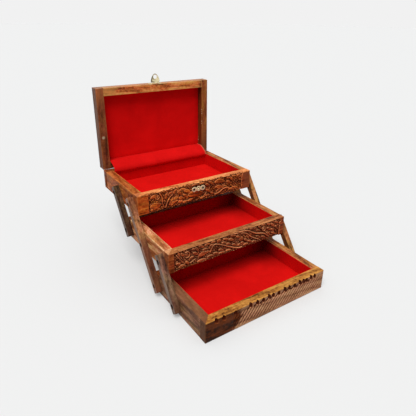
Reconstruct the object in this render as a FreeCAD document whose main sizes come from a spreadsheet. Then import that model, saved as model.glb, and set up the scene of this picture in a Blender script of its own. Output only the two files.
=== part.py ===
import FreeCAD, Part
import os
import Sketcher
from FreeCAD import Placement, Rotation, Vector

# Three-tier cantilever jewellery box, millimetres, +Z up.
# Origin: centre of the bottom tray's underside.  X runs along the front, Y runs to the rear.
# The box stands open: each tray is carried behind and above the one below it, and the lid is up.

SIZES = (
    ("box_width", 203, "outside width of a tray, along X"),
    ("box_depth", 130, "outside depth of a tray, along Y"),
    ("tray_height", 30, "height of one tray"),
    ("wall", 12, "thickness of the tray walls and lid rails"),
    ("floor_thick", 4, "floor panel, let in flush between the walls"),
    ("pad_thick", 5, "velvet over wadding on the floor"),
    ("lining_thick", 0.8, "velvet glued to the inner walls"),
    ("lining_drop", 0.5, "how far that velvet ends below the rim"),
    ("edge_round", 0.7, "softened long edges of the boards"),
    ("tray_gap", 0.4, "space between a rim and the tray stacked on it"),
    ("pivot_inset", 13, "distance of a tray's first and last pivot from its ends"),
    ("pivot_height", 15, "height of the pivots above a tray's underside"),
    ("lean", 36, "lean of the arms to the rear, in degrees, as the box stands open"),
    ("arm_width", 9, "arm section, in the plane in which it swings"),
    ("arm_thick", 9, "arm section, across that plane"),
    ("arm_overhang", 10, "arm length beyond its end pivots"),
    ("arm_end_round", 1.5, "rounded corners at the arm ends"),
    ("arm_edge_round", 1, "softened long edges of the arms"),
    ("arm_gap", 0.3, "space between an arm and the tray's side"),
    ("screw_shank", 1.6, "radius of a pivot screw's shank"),
    ("screw_play", 0.08, "radial play of the shank in an arm"),
    ("screw_grip", 0.02, "radial play of the thread in a tray wall"),
    ("screw_bite", 9, "length of thread in a tray wall"),
    ("screw_head", 3, "radius of a pivot screw's head"),
    ("screw_head_high", 1.7, "height of a pivot screw's head"),
    ("screw_slot", 0.8, "width and depth of the slot in the head"),
    ("recess_round", 3.7, "radius of the recess for the head in an arm"),
    ("recess_deep", 2.6, "depth of that recess"),
    ("seat_play", 0.1, "space under a screw head"),
    ("lid_rail_high", 13, "depth of the lid's rails, without its panel"),
    ("lid_panel", 4, "thickness of the lid's panel"),
    ("lid_panel_round", 1.5, "rounded outer edge of the lid's panel"),
    ("lid_lining", 1, "velvet on the inside of the lid's panel"),
    ("lid_gap", 0.15, "space between the lid's rim and the top tray's rim, closed"),
    ("cloth_thick", 0.8, "velvet strip across the lid's hinge line"),
    ("cloth_play", 0.3, "space between that strip and what it passes over"),
    ("cloth_side_play", 0.4, "space between the ends of that strip and the side linings"),
    ("cloth_bulge", 4, "how far the strip stands forward of the rear lining"),
    ("cloth_tuck", 4, "how far the strip reaches below the top tray's rim"),
    ("hinge_spread", 55, "distance of each hinge from the middle"),
    ("hinge_long", 20, "length of a hinge along its pin"),
    ("hinge_knuckle", 7, "length of the lid leaf's knuckle"),
    ("leaf_high", 9, "reach of a hinge leaf from its pin"),
    ("leaf_thick", 0.6, "thickness of a hinge leaf"),
    ("pin_reach", 0.05, "reach of a hinge's pin from the wood behind it"),
    ("knuckle_round", 1.2, "outer radius of the hinge and hasp knuckles"),
    ("hinge_pin", 0.6, "radius of a hinge pin"),
    ("pin_play", 0.05, "radial play of a pin in the knuckle that turns"),
    ("knuckle_play", 0.3, "space beside and round a knuckle that turns"),
    ("nail_spread", 6, "distance of a leaf's nails from the middle of the hinge"),
    ("nail_reach", 5.5, "distance of a leaf's nails from its pin"),
    ("nail_head", 1.5, "radius of a nail's head"),
    ("nail_head_high", 0.6, "height of a nail's head"),
    ("nail_shank", 0.5, "radius of a nail's shank"),
    ("nail_long", 6, "length of a nail in the wood"),
    ("hasp_wide", 22, "width of the hasp's base plate"),
    ("hasp_reach", 7.5, "reach of the base plate from the hasp's pin"),
    ("hasp_plate", 0.7, "thickness of the base plate"),
    ("hasp_pin", 0.5, "radius of the hasp's pin"),
    ("hasp_inset", 0.6, "distance of the hasp's pin from the lid's rim"),
    ("hasp_ear", 2.5, "length of each knuckle of the base plate"),
    ("hasp_nail_spread", 8, "distance of the hasp's nails from its middle"),
    ("hasp_nail_reach", 4.8, "distance of the hasp's nails from its pin"),
    ("flap_wide", 16, "width of the hasp's flap"),
    ("flap_long", 15, "reach of the flap from the pin"),
    ("flap_thick", 0.9, "thickness of the flap"),
    ("flap_knuckle", 6, "length of the flap's knuckle"),
    ("slot_wide", 6.6, "slot in the flap, along X"),
    ("slot_high", 2.8, "slot in the flap, along its reach"),
    ("catch_drop", 10.5, "distance from the hasp's pin to the catch, lid shut"),
    ("keeper_wide", 24, "width of the keeper plate"),
    ("keeper_high", 8.6, "height of the keeper plate"),
    ("keeper_plate", 0.6, "thickness of the keeper plate"),
    ("keeper_waist", 5.8, "height of the keeper plate between its lobes"),
    ("keeper_nail_spread", 8, "distance of the keeper's nails from its middle"),
    ("catch_round", 2.2, "radius of the catch, a half ring"),
    ("catch_wire", 0.55, "radius of the catch's wire"),
)

doc = FreeCAD.newDocument("CantileverBox")
sheet = doc.addObject("Spreadsheet::Sheet", "Sizes")
for row, (alias, value, note) in enumerate(SIZES, start=1):
    sheet.set(f"A{row}", note)
    sheet.set(f"B{row}", str(value))
    sheet.setAlias(f"B{row}", alias)
doc.recompute()

subparts = []   # the objects that are written out, in order

# Lengths and places that follow from the sheet, as expressions.
CLOSED_RISE = "(Sizes.tray_height + Sizes.tray_gap)"
PIVOT_STEP = "(Sizes.box_depth / 2 - Sizes.pivot_inset)"          # pivot to pivot of one tray
PITCH = f"sqrt({PIVOT_STEP} ^ 2 + {CLOSED_RISE} ^ 2)"             # pivot to pivot along an arm
TIER_BACK = f"({PIVOT_STEP} + {PITCH} * sin(Sizes.lean))"         # each tray behind the one below
TIER_UP = f"({PITCH} * cos(Sizes.lean))"                          # and above it
HALF_WIDE = "Sizes.box_width / 2"
HALF_DEEP = "Sizes.box_depth / 2"
INNER_WIDE = "(Sizes.box_width - 2 * Sizes.wall)"
INNER_DEEP = "(Sizes.box_depth - 2 * Sizes.wall)"
ARM_FACE = "(Sizes.box_width / 2 + Sizes.arm_gap)"                # inner face of the arms
BORE_ROUND = "(Sizes.screw_shank + Sizes.screw_grip)"             # screw hole in a tray wall
BORE_DEEP = "(Sizes.screw_bite + Sizes.screw_grip)"
TOP_RIM = f"(2 * {TIER_UP} + Sizes.tray_height)"
TOP_BACK = f"(2 * {TIER_BACK} + {HALF_DEEP})"                     # rear face of the top tray
TOP_FRONT = f"(2 * {TIER_BACK} - {HALF_DEEP})"
PIN_Y = f"({TOP_BACK} + Sizes.pin_reach)"                         # lid hinge axis
PIN_Z = f"({TOP_RIM} + Sizes.lid_gap / 2)"
LID_RIM_Y = f"({PIN_Y} + Sizes.lid_gap / 2)"                      # rim plane of the raised lid
LID_FOOT_Z = f"({PIN_Z} + Sizes.pin_reach)"
LID_MID_Z = f"({LID_FOOT_Z} + {HALF_DEEP})"
LID_HEAD_Z = f"({LID_FOOT_Z} + Sizes.box_depth)"
HASP_Y = f"({LID_RIM_Y} + Sizes.hasp_inset)"                      # hasp pin axis
HASP_Z = f"({LID_HEAD_Z} + Sizes.knuckle_round)"
# With the lid shut, the hasp's pin is this high above the top tray's underside.
HASP_SHUT = "(Sizes.tray_height + Sizes.lid_gap + Sizes.hasp_inset)"
CATCH_Z = f"(2 * {TIER_UP} + {HASP_SHUT} - Sizes.catch_drop)"

RAISED = Rotation(Vector(1, 0, 0), -90)     # the lid's frame, from shut to raised
ALONG_X = Rotation(Vector(0, 1, 0), 90)     # a cylinder's axis from Z to X
ALONG_Y = Rotation(Vector(1, 0, 0), -90)    # a cylinder's axis from Z to Y


def value(expression):
    """The number that an expression of the sheet gives."""
    return float(sheet.evalExpression(expression))


def bind(thing, **expressions):
    """Tie properties of an object to the sheet, such as Length="Sizes.wall"."""
    for name, expression in expressions.items():
        thing.setExpression(name, expression)
    return thing


def place(thing, x="0", y="0", z="0", turn=None):
    """Tie an object's place to the sheet."""
    thing.Placement = Placement(Vector(), turn or Rotation())
    for axis, expression in (("x", x), ("y", y), ("z", z)):
        thing.setExpression(f"Placement.Base.{axis}", expression)
    return thing


def keep(thing, node):
    """Name an object as a sub-part and list it for writing."""
    thing.Label = node
    subparts.append(thing)
    return thing


# ---- Part primitives and booleans

def box(name, long, wide, high, x, y, z):
    """Block whose low corner is at x, y, z."""
    block = doc.addObject("Part::Box", name)
    return place(bind(block, Length=long, Width=wide, Height=high), x, y, z)


def rod(name, radius, long, x, y, z, turn):
    """Cylinder from x, y, z along the turned axis."""
    cylinder = doc.addObject("Part::Cylinder", name)
    return place(bind(cylinder, Radius=radius, Height=long), x, y, z, turn)


def fuse(name, pieces):
    joined = doc.addObject("Part::MultiFuse", name)
    joined.Shapes = pieces
    joined.Refine = True
    return joined


def cut(name, base, tools):
    """Base less its tools."""
    waste = tools[0] if len(tools) == 1 else fuse(f"{name}_waste", tools)
    rest = doc.addObject("Part::Cut", name)
    rest.Base = base
    rest.Tool = waste
    rest.Refine = True
    return rest


# ---- PartDesign bodies

def new_body(node):
    return keep(doc.addObject("PartDesign::Body", node), node)


def new_sketch(body, role, name):
    """Empty sketch on one of the body's own origin planes."""
    sketch = body.newObject("Sketcher::SketchObject", name)
    plane = next(f for f in body.Origin.OriginFeatures if f.Role == role)
    sketch.AttachmentSupport = (plane, "")
    sketch.MapMode = "FlatFace"
    return sketch


def constrain(sketch, kind, *where, size=None):
    """Add a constraint; a size is an expression of the sheet."""
    if size is None:
        sketch.addConstraint(Sketcher.Constraint(kind, *where))
        return
    index = sketch.addConstraint(Sketcher.Constraint(kind, *where, value(size)))
    sketch.setExpression(f"Constraints[{index}]", size)


def polygon(sketch, points):
    """Closed outline of lines that meet end to end and count from 0."""
    corners = [Vector(x, y, 0) for x, y in points]
    for start, end in zip(corners, corners[1:] + corners[:1]):
        sketch.addGeometry(Part.LineSegment(start, end), False)
    for line in range(len(corners)):
        constrain(sketch, "Coincident", line, 2, (line + 1) % len(corners), 1)


def circle_on_axis(sketch, along, offset, radius):
    """Circle on the sketch's X or Y axis; offset is a (sign, expression) pair."""
    sign, distance = offset
    reach = sign * value(distance)
    centre = Vector(reach, 0, 0) if along == "X" else Vector(0, reach, 0)
    ring = sketch.addGeometry(Part.Circle(centre, Vector(0, 0, 1), value(radius)), False)
    constrain(sketch, "Radius", ring, size=radius)
    if sign == 0:
        constrain(sketch, "Coincident", ring, 3, -1, 1)
        return
    constrain(sketch, "PointOnObject", ring, 3, -1 if along == "X" else -2)
    ends = (-1, 1, ring, 3) if sign > 0 else (ring, 3, -1, 1)
    constrain(sketch, f"Distance{along}", *ends, size=distance)


def pad(body, sketch, length, reverse=False):
    feature = body.newObject("PartDesign::Pad", f"{sketch.Name}_pad")
    feature.Profile = sketch
    feature.Reversed = reverse
    bind(feature, Length=length)
    doc.recompute()
    return feature


def pocket(body, sketch, length, reverse=False):
    """Pocket that has to take material away."""
    before = body.Shape.Volume
    feature = body.newObject("PartDesign::Pocket", f"{sketch.Name}_pocket")
    feature.Profile = sketch
    feature.Reversed = reverse
    bind(feature, Length=length)
    doc.recompute()
    if body.Shape.Volume >= before:
        raise RuntimeError(f"{body.Label}: {feature.Name} cuts nothing")
    return feature


def round_edges(body, base, radius, wanted):
    """Fillet the edges of a feature for which wanted(edge) holds."""
    names = [f"Edge{i}" for i, edge in enumerate(base.Shape.Edges, start=1) if wanted(edge)]
    fillet = body.newObject("PartDesign::Fillet", f"{base.Name}_round")
    fillet.Base = (base, names)
    bind(fillet, Radius=radius)
    body.Tip = fillet
    doc.recompute()
    return fillet


def lies_along(edge, axis):
    """True when a straight edge runs along an axis (0, 1 or 2)."""
    if edge.Curve.TypeId != "Part::GeomLine":
        return False
    span = edge.Vertexes[1].Point - edge.Vertexes[0].Point
    return abs(span[axis]) > 0.999 * span.Length


# ---- boards: outer face on the body's XZ plane, thickness along +Y, lower edge on the XY plane

def board(node, long, high, x, y, z, turn, pivots=(), ends=False, glued_top=False):
    """Wall board with its outer edges rounded.

    pivots are (sign, expression) places of screw holes along its length; ends is for a board
    whose ends show at the corners; glued_top is for one whose upper edge meets a panel.
    """
    body = new_body(node)
    outline = new_sketch(body, "XY_Plane", f"{node}_outline")
    half, thick = value(long) / 2, value("Sizes.wall")
    polygon(outline, ((-half, 0), (half, 0), (half, thick), (-half, thick)))
    constrain(outline, "PointOnObject", 0, 1, -1)
    constrain(outline, "Symmetric", 0, 1, 0, 2, -2)
    constrain(outline, "Symmetric", 2, 2, 2, 1, -2)
    constrain(outline, "DistanceX", 0, 1, 0, 2, size=long)
    constrain(outline, "DistanceX", 2, 2, 2, 1, size=long)
    constrain(outline, "DistanceY", 1, 1, 1, 2, size="Sizes.wall")
    block = pad(body, outline, high)
    top = value(high)

    def exposed(edge):
        middle = edge.CenterOfMass
        if glued_top and abs(middle.z - top) < 1e-6:
            return False
        on_outer_face = abs(middle.y) < 1e-6
        if lies_along(edge, 0):
            return on_outer_face
        return ends and (on_outer_face or lies_along(edge, 1))

    round_edges(body, block, "Sizes.edge_round", exposed)
    if pivots:
        holes = new_sketch(body, "XZ_Plane", f"{node}_holes")
        holes.setExpression("AttachmentOffset.Base.y", "Sizes.pivot_height")
        for offset in pivots:
            circle_on_axis(holes, "X", offset, BORE_ROUND)
        pocket(body, holes, BORE_DEEP)
    place(body, x, y, z, turn)
    return body


def bore_ends(body):
    """Screw holes at both ends of a front or back board, where they run into its inner face."""
    if value(f"Sizes.pivot_inset - {BORE_ROUND}") >= value("Sizes.wall"):
        return
    for side, hand in ((-1, "left"), (1, "right")):
        hole = new_sketch(body, "YZ_Plane", f"{body.Label}_{hand}_hole")
        hole.setExpression("AttachmentOffset.Base.y", "Sizes.pivot_height")
        hole.setExpression("AttachmentOffset.Base.z", f"{side} * {HALF_WIDE}")
        circle_on_axis(hole, "X", (1, "Sizes.pivot_inset"), BORE_ROUND)
        pocket(body, hole, BORE_DEEP, reverse=side < 0)


def quarter_turns(count):
    return Rotation(Vector(0, 0, 1), 90 * count)


# ---- trays

FRONT, MIDDLE, REAR = (-1, PIVOT_STEP), (0, "0"), (1, PIVOT_STEP)
TRAYS = (
    ("bottom_tray", 0, (MIDDLE, REAR)),
    ("middle_tray", 1, (FRONT, MIDDLE, REAR)),
    ("top_tray", 2, (FRONT, MIDDLE)),
)


def tray(name, tier, pivots):
    """Four walls, floor panel, padded floor and wall lining of one tray."""
    back, up = f"{tier} * {TIER_BACK}", f"{tier} * {TIER_UP}"
    mirrored = tuple((-sign, distance) for sign, distance in pivots)
    wide, high = "Sizes.box_width", "Sizes.tray_height"
    for row, wall, sign, turns in ((FRONT, "front", "-", 0), (REAR, "back", "+", 2)):
        across = board(f"{name}_{wall}", wide, high, "0", f"{back} {sign} {HALF_DEEP}", up,
                       quarter_turns(turns), ends=True)
        if row in pivots:
            bore_ends(across)
    board(f"{name}_left", INNER_DEEP, high, f"-{HALF_WIDE}", back, up, quarter_turns(-1), mirrored)
    board(f"{name}_right", INNER_DEEP, high, HALF_WIDE, back, up, quarter_turns(1), pivots)

    low_x, low_y = f"-{INNER_WIDE} / 2", f"{back} - {INNER_DEEP} / 2"
    keep(box(f"{name}_floor", INNER_WIDE, INNER_DEEP, "Sizes.floor_thick", low_x, low_y, up),
         f"{name}_floor")
    keep(box(f"{name}_floor_pad", INNER_WIDE, INNER_DEEP, "Sizes.pad_thick",
             low_x, low_y, f"{up} + Sizes.floor_thick"), f"{name}_floor_pad")

    lining_z = f"{up} + Sizes.floor_thick + Sizes.pad_thick"
    lining_high = "Sizes.tray_height - Sizes.floor_thick - Sizes.pad_thick - Sizes.lining_drop"
    outer = box(f"{name}_lining_outer", INNER_WIDE, INNER_DEEP, lining_high, low_x, low_y, lining_z)
    inner = box(f"{name}_lining_inner", f"{INNER_WIDE} - 2 * Sizes.lining_thick",
                f"{INNER_DEEP} - 2 * Sizes.lining_thick", lining_high,
                f"{low_x} + Sizes.lining_thick", f"{low_y} + Sizes.lining_thick", lining_z)
    keep(cut(f"{name}_lining", outer, [inner]), f"{name}_wall_lining")


for tray_name, tier, tray_pivots in TRAYS:
    tray(tray_name, tier, tray_pivots)


# ---- arms: drawn upright, inner face on the YZ plane, lowest pivot on the body's origin

def arm(node, side, spans, pivot, tier):
    """Arm on side -1 (left) or 1 (right) with spans + 1 pivots, the lowest at a tray's pivot."""
    body = new_body(node)
    outline = new_sketch(body, "YZ_Plane", f"{node}_outline")
    half, end = value("Sizes.arm_width") / 2, value("Sizes.arm_overhang")
    top = spans * value(PITCH) + end
    polygon(outline, ((-half, -end), (half, -end), (half, top), (-half, top)))
    constrain(outline, "Symmetric", 0, 1, 0, 2, -2)
    constrain(outline, "Symmetric", 2, 1, 2, 2, -2)
    constrain(outline, "DistanceX", 0, 1, 0, 2, size="Sizes.arm_width")
    constrain(outline, "DistanceX", 2, 2, 2, 1, size="Sizes.arm_width")
    constrain(outline, "DistanceY", 0, 1, -1, 1, size="Sizes.arm_overhang")
    constrain(outline, "DistanceY", 0, 2, 2, 1, size=f"{spans} * {PITCH} + 2 * Sizes.arm_overhang")
    bar = pad(body, outline, "Sizes.arm_thick", reverse=side < 0)
    ends = round_edges(body, bar, "Sizes.arm_end_round", lambda edge: lies_along(edge, 0))
    outer_face = side * value("Sizes.arm_thick")
    round_edges(body, ends, "Sizes.arm_edge_round",
                lambda edge: abs(edge.CenterOfMass.x - outer_face) < 1e-6)

    holes = new_sketch(body, "YZ_Plane", f"{node}_holes")
    for step in range(spans + 1):
        circle_on_axis(holes, "Y", (min(step, 1), f"{step} * {PITCH}"),
                       "Sizes.screw_shank + Sizes.screw_play")
    pocket(body, holes, "Sizes.arm_thick", reverse=side > 0)
    recesses = new_sketch(body, "YZ_Plane", f"{node}_recesses")
    recesses.setExpression("AttachmentOffset.Base.z", f"{side} * Sizes.arm_thick")
    for step in range(spans + 1):
        circle_on_axis(recesses, "Y", (min(step, 1), f"{step} * {PITCH}"), "Sizes.recess_round")
    pocket(body, recesses, "Sizes.recess_deep", reverse=side < 0)

    sign, distance = pivot
    place(body, f"{side} * {ARM_FACE}", f"{tier} * {TIER_BACK} + {sign} * {distance}",
          f"{tier} * {TIER_UP} + Sizes.pivot_height",
          Rotation(Vector(1, 0, 0), -value("Sizes.lean")))
    return body


for side, hand in ((-1, "left"), (1, "right")):
    arm(f"long_arm_{hand}", side, 2, REAR, 0)
    arm(f"front_arm_{hand}", side, 1, MIDDLE, 0)
    arm(f"rear_arm_{hand}", side, 1, REAR, 1)


# ---- fasteners: one pattern of each kind, linked wherever it is used

def turned_pattern(name, profile):
    """Body turned about X from (x, radius) pairs of expressions; the head starts at x = 0."""
    body = doc.addObject("PartDesign::Body", name)
    sketch = new_sketch(body, "XY_Plane", f"{name}_profile")
    points = [(value(x), value(radius)) for x, radius in profile]
    polygon(sketch, points)
    for corner, (x, radius) in enumerate(profile):
        if value(x) == 0:
            constrain(sketch, "PointOnObject", corner, 1, -2)
        else:
            constrain(sketch, "DistanceX", -1, 1, corner, 1, size=x)
        if value(radius) == 0:
            constrain(sketch, "PointOnObject", corner, 1, -1)
        else:
            constrain(sketch, "DistanceY", -1, 1, corner, 1, size=radius)
    turned = body.newObject("PartDesign::Revolution", f"{name}_turned")
    turned.Profile = sketch
    turned.ReferenceAxis = (sketch, ["H_Axis"])
    turned.Angle = 360
    body.Tip = turned
    doc.recompute()
    return body


SCREW_UNDER_HEAD = "Sizes.screw_head_high"
SCREW_LONG = ("(Sizes.screw_head_high + Sizes.seat_play + Sizes.arm_thick - Sizes.recess_deep"
              " + Sizes.arm_gap + Sizes.screw_bite)")
pivot_screw = turned_pattern("pivot_screw_pattern", (
    ("0", "0"),
    ("0", "0.8 * Sizes.screw_head"),
    ("0.5 * Sizes.screw_head_high", "Sizes.screw_head"),
    (SCREW_UNDER_HEAD, "Sizes.screw_head"),
    (SCREW_UNDER_HEAD, "Sizes.screw_shank"),
    (f"{SCREW_LONG} - 2 * Sizes.screw_shank", "Sizes.screw_shank"),
    (SCREW_LONG, "0"),
))
drive = new_sketch(pivot_screw, "YZ_Plane", "pivot_screw_drive")
reach, half_slot = value("Sizes.screw_head") + 1, value("Sizes.screw_slot") / 2
polygon(drive, ((-reach, -half_slot), (reach, -half_slot), (reach, half_slot), (-reach, half_slot)))
constrain(drive, "Symmetric", 0, 1, 2, 1, -1, 1)
constrain(drive, "Horizontal", 0)
constrain(drive, "Vertical", 1)
constrain(drive, "DistanceX", 0, 1, 0, 2, size="2 * Sizes.screw_head + 2")
constrain(drive, "DistanceY", 1, 1, 1, 2, size="Sizes.screw_slot")
pocket(pivot_screw, drive, "Sizes.screw_slot", reverse=True)

nail = turned_pattern("nail_pattern", (
    ("0", "0"),
    ("0", "0.55 * Sizes.nail_head"),
    ("0.6 * Sizes.nail_head_high", "Sizes.nail_head"),
    ("Sizes.nail_head_high", "Sizes.nail_head"),
    ("Sizes.nail_head_high", "Sizes.nail_shank"),
    ("Sizes.nail_head_high + Sizes.nail_long - 2 * Sizes.nail_shank", "Sizes.nail_shank"),
    ("Sizes.nail_head_high + Sizes.nail_long", "0"),
))


def fasteners(node, pattern, places, turns):
    """Group of separate fasteners at (x, y, z) places, each with its own turn."""
    links = []
    for count, (where, turn) in enumerate(zip(places, turns)):
        link = doc.addObject("App::Link", f"{node}_{count}")
        link.LinkedObject = pattern
        links.append(place(link, *where, turn))
    group = doc.addObject("Part::Compound", f"{node}_group")
    group.Links = links
    return keep(group, node)


HEAD_X = "(Sizes.box_width / 2 + Sizes.arm_gap + Sizes.arm_thick - Sizes.recess_deep" \
         " + Sizes.seat_play + Sizes.screw_head_high)"
for tray_name, tier, tray_pivots in TRAYS:
    spots, turns = [], []
    for side, inward in ((-1, Rotation()), (1, Rotation(Vector(0, 0, 1), 180))):
        for sign, distance in tray_pivots:
            spots.append((f"{side} * {HEAD_X}", f"{tier} * {TIER_BACK} + {sign} * {distance}",
                          f"{tier} * {TIER_UP} + Sizes.pivot_height"))
            turns.append(inward)
    fasteners(f"{tray_name}_pivot_screws", pivot_screw, spots, turns)


# ---- lid, raised: its rim faces the front and its front rail is uppermost

LID_BACK_Y = f"({LID_RIM_Y} + Sizes.lid_rail_high)"      # where rails end and the panel starts
for rail, long, x, z, turn in (
    ("front", INNER_WIDE, "0", LID_HEAD_Z, 0),
    ("rear", INNER_WIDE, "0", LID_FOOT_Z, 2),
    ("left", "Sizes.box_depth", f"-{HALF_WIDE}", LID_MID_Z, -1),
    ("right", "Sizes.box_depth", HALF_WIDE, LID_MID_Z, 1),
):
    board(f"lid_{rail}_rail", long, "Sizes.lid_rail_high", x, LID_RIM_Y, z,
          RAISED * quarter_turns(turn), ends=rail in ("left", "right"), glued_top=True)

panel_body = new_body("lid_panel")
panel_outline = new_sketch(panel_body, "XY_Plane", "lid_panel_outline")
half_x, half_y = value(HALF_WIDE), value(HALF_DEEP)
polygon(panel_outline, ((-half_x, -half_y), (half_x, -half_y), (half_x, half_y), (-half_x, half_y)))
constrain(panel_outline, "Symmetric", 0, 1, 2, 1, -1, 1)
constrain(panel_outline, "Horizontal", 0)
constrain(panel_outline, "Vertical", 1)
constrain(panel_outline, "DistanceX", 0, 1, 0, 2, size="Sizes.box_width")
constrain(panel_outline, "DistanceY", 1, 1, 1, 2, size="Sizes.box_depth")
panel_pad = pad(panel_body, panel_outline, "Sizes.lid_panel")
panel_top = value("Sizes.lid_panel")
round_edges(panel_body, panel_pad, "Sizes.lid_panel_round",
            lambda edge: abs(edge.CenterOfMass.z - panel_top) < 1e-6)
place(panel_body, "0", LID_BACK_Y, LID_MID_Z, RAISED)

keep(box("lid_lining_sheet", INNER_WIDE, "Sizes.lid_lining", INNER_DEEP, f"-{INNER_WIDE} / 2",
         f"{LID_BACK_Y} - Sizes.lid_lining", f"{LID_MID_Z} - {INNER_DEEP} / 2"), "lid_lining")


# ---- velvet strip from the lid's lining over the hinge line to the top tray's rear lining

strip_half = value("Sizes.cloth_thick") / 2
strip_off = strip_half + value("Sizes.cloth_play")
rail_top = value(LID_FOOT_Z) + value("Sizes.wall")
rear_lining = value(TOP_BACK) - value("Sizes.wall") - value("Sizes.lining_thick")
rim_z = value(TOP_RIM)
strip_line = [Vector(0, y, z) for y, z in (
    (value(LID_BACK_Y) - value("Sizes.lid_lining") - strip_off, rail_top + strip_off),
    (value(LID_RIM_Y) - strip_off / 2, rail_top + strip_off),
    (rear_lining - strip_off - 1, rim_z + 5),
    (rear_lining - value("Sizes.cloth_bulge"), rim_z - 1),
    (rear_lining - strip_off, rim_z - value("Sizes.cloth_tuck")),
)]
strip_face = Part.makePolygon(strip_line).makeOffset2D(strip_half, 0, True, False)
strip_long = value(f"{INNER_WIDE} - 2 * (Sizes.lining_thick + Sizes.cloth_side_play)")
strip = doc.addObject("Part::Feature", "hinge_cloth_strip")
strip.Shape = strip_face.extrude(Vector(strip_long, 0, 0))
strip.Placement = Placement(Vector(-strip_long / 2, 0, 0), Rotation())
keep(strip, "lid_hinge_cloth")


# ---- two butt hinges behind the lid: leaves on the outside, knuckles round one pin

PLATE_LOW = "Sizes.knuckle_round + Sizes.knuckle_play"
HOLLOW_LONG = "(Sizes.hinge_long + 2 * Sizes.knuckle_play)"


def knuckle_hollows(body, pin_up):
    """Hollows in a board's outer face for the knuckles, pin_up above the board's lower edge."""
    if value(PLATE_LOW) <= value("Sizes.pin_reach"):
        return
    for side, hand in ((-1, "left"), (1, "right")):
        hollow = new_sketch(body, "YZ_Plane", f"{body.Label}_{hand}_hollow")
        hollow.setExpression("AttachmentOffset.Base.y", pin_up)
        hollow.setExpression("AttachmentOffset.Base.z",
                             f"{side} * Sizes.hinge_spread + {HOLLOW_LONG} / 2")
        circle_on_axis(hollow, "X", (-1, "Sizes.pin_reach"), f"({PLATE_LOW})")
        pocket(body, hollow, HOLLOW_LONG)


knuckle_hollows(doc.getObject("top_tray_back"), "Sizes.tray_height + Sizes.lid_gap / 2")
knuckle_hollows(doc.getObject("lid_rear_rail"), "-Sizes.lid_gap / 2")


def hinge(hand, middle):
    """Tray leaf, lid leaf and pin of the hinge whose middle is at X = middle."""
    start = f"({middle} - Sizes.hinge_long / 2)"
    gap_start = f"({middle} - Sizes.hinge_knuckle / 2 - Sizes.knuckle_play)"
    gap_long = "(Sizes.hinge_knuckle + 2 * Sizes.knuckle_play)"
    ear_long = f"({gap_start} - {start})"
    far_ear = f"({gap_start} + {gap_long})"
    name = f"{hand}_hinge"

    def nail_holes(leaf, y, z, turn):
        return [rod(f"{name}_{leaf}_hole_{count}", "Sizes.nail_shank", "Sizes.leaf_thick",
                    f"{middle} + {sign} * Sizes.nail_spread", y, z, turn)
                for count, sign in enumerate((-1, 1))]

    plate = box(f"{name}_tray_plate", "Sizes.hinge_long", "Sizes.leaf_thick", "Sizes.leaf_high",
                start, TOP_BACK, f"{PIN_Z} - Sizes.leaf_high")
    notch = box(f"{name}_tray_notch", gap_long, "2 * Sizes.leaf_thick", PLATE_LOW,
                gap_start, f"{TOP_BACK} - Sizes.leaf_thick / 2", f"{PIN_Z} - ({PLATE_LOW})")
    ears = [rod(f"{name}_ear_{count}", "Sizes.knuckle_round", ear_long, x, PIN_Y, PIN_Z, ALONG_X)
            for count, x in enumerate((start, far_ear))]
    bore = rod(f"{name}_tray_bore", "Sizes.hinge_pin", "Sizes.hinge_long", start, PIN_Y, PIN_Z,
               ALONG_X)
    notched = cut(f"{name}_tray_notched", plate, [notch])
    leaf = fuse(f"{name}_tray_joined", [notched] + ears)
    holes = nail_holes("tray", TOP_BACK, f"{PIN_Z} - Sizes.nail_reach", ALONG_Y)
    keep(cut(f"{name}_tray_leaf_cut", leaf, [bore] + holes), f"{name}_tray_leaf")

    lid_plate_z = f"{LID_FOOT_Z} - Sizes.leaf_thick"
    plate = box(f"{name}_lid_plate", "Sizes.hinge_long", "Sizes.leaf_high", "Sizes.leaf_thick",
                start, PIN_Y, lid_plate_z)
    notches = [box(f"{name}_lid_notch_{count}", f"{ear_long} + Sizes.knuckle_play", PLATE_LOW,
                   "2 * Sizes.leaf_thick", x, PIN_Y, f"{lid_plate_z} - Sizes.leaf_thick / 2")
               for count, x in enumerate((start, f"{far_ear} - Sizes.knuckle_play"))]
    knuckle = rod(f"{name}_knuckle", "Sizes.knuckle_round", "Sizes.hinge_knuckle",
                  f"{middle} - Sizes.hinge_knuckle / 2", PIN_Y, PIN_Z, ALONG_X)
    bore = rod(f"{name}_lid_bore", "Sizes.hinge_pin + Sizes.pin_play", "Sizes.hinge_knuckle",
               f"{middle} - Sizes.hinge_knuckle / 2", PIN_Y, PIN_Z, ALONG_X)
    notched = cut(f"{name}_lid_notched", plate, notches)
    leaf = fuse(f"{name}_lid_joined", [notched, knuckle])
    holes = nail_holes("lid", f"{PIN_Y} + Sizes.nail_reach", lid_plate_z, Rotation())
    keep(cut(f"{name}_lid_leaf_cut", leaf, [bore] + holes), f"{name}_lid_leaf")

    keep(rod(f"{name}_pin_rod", "Sizes.hinge_pin", "Sizes.hinge_long", start, PIN_Y, PIN_Z,
             ALONG_X), f"{name}_pin")


HINGES = (("left", "-Sizes.hinge_spread"), ("right", "Sizes.hinge_spread"))
for hand, middle in HINGES:
    hinge(hand, middle)

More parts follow.
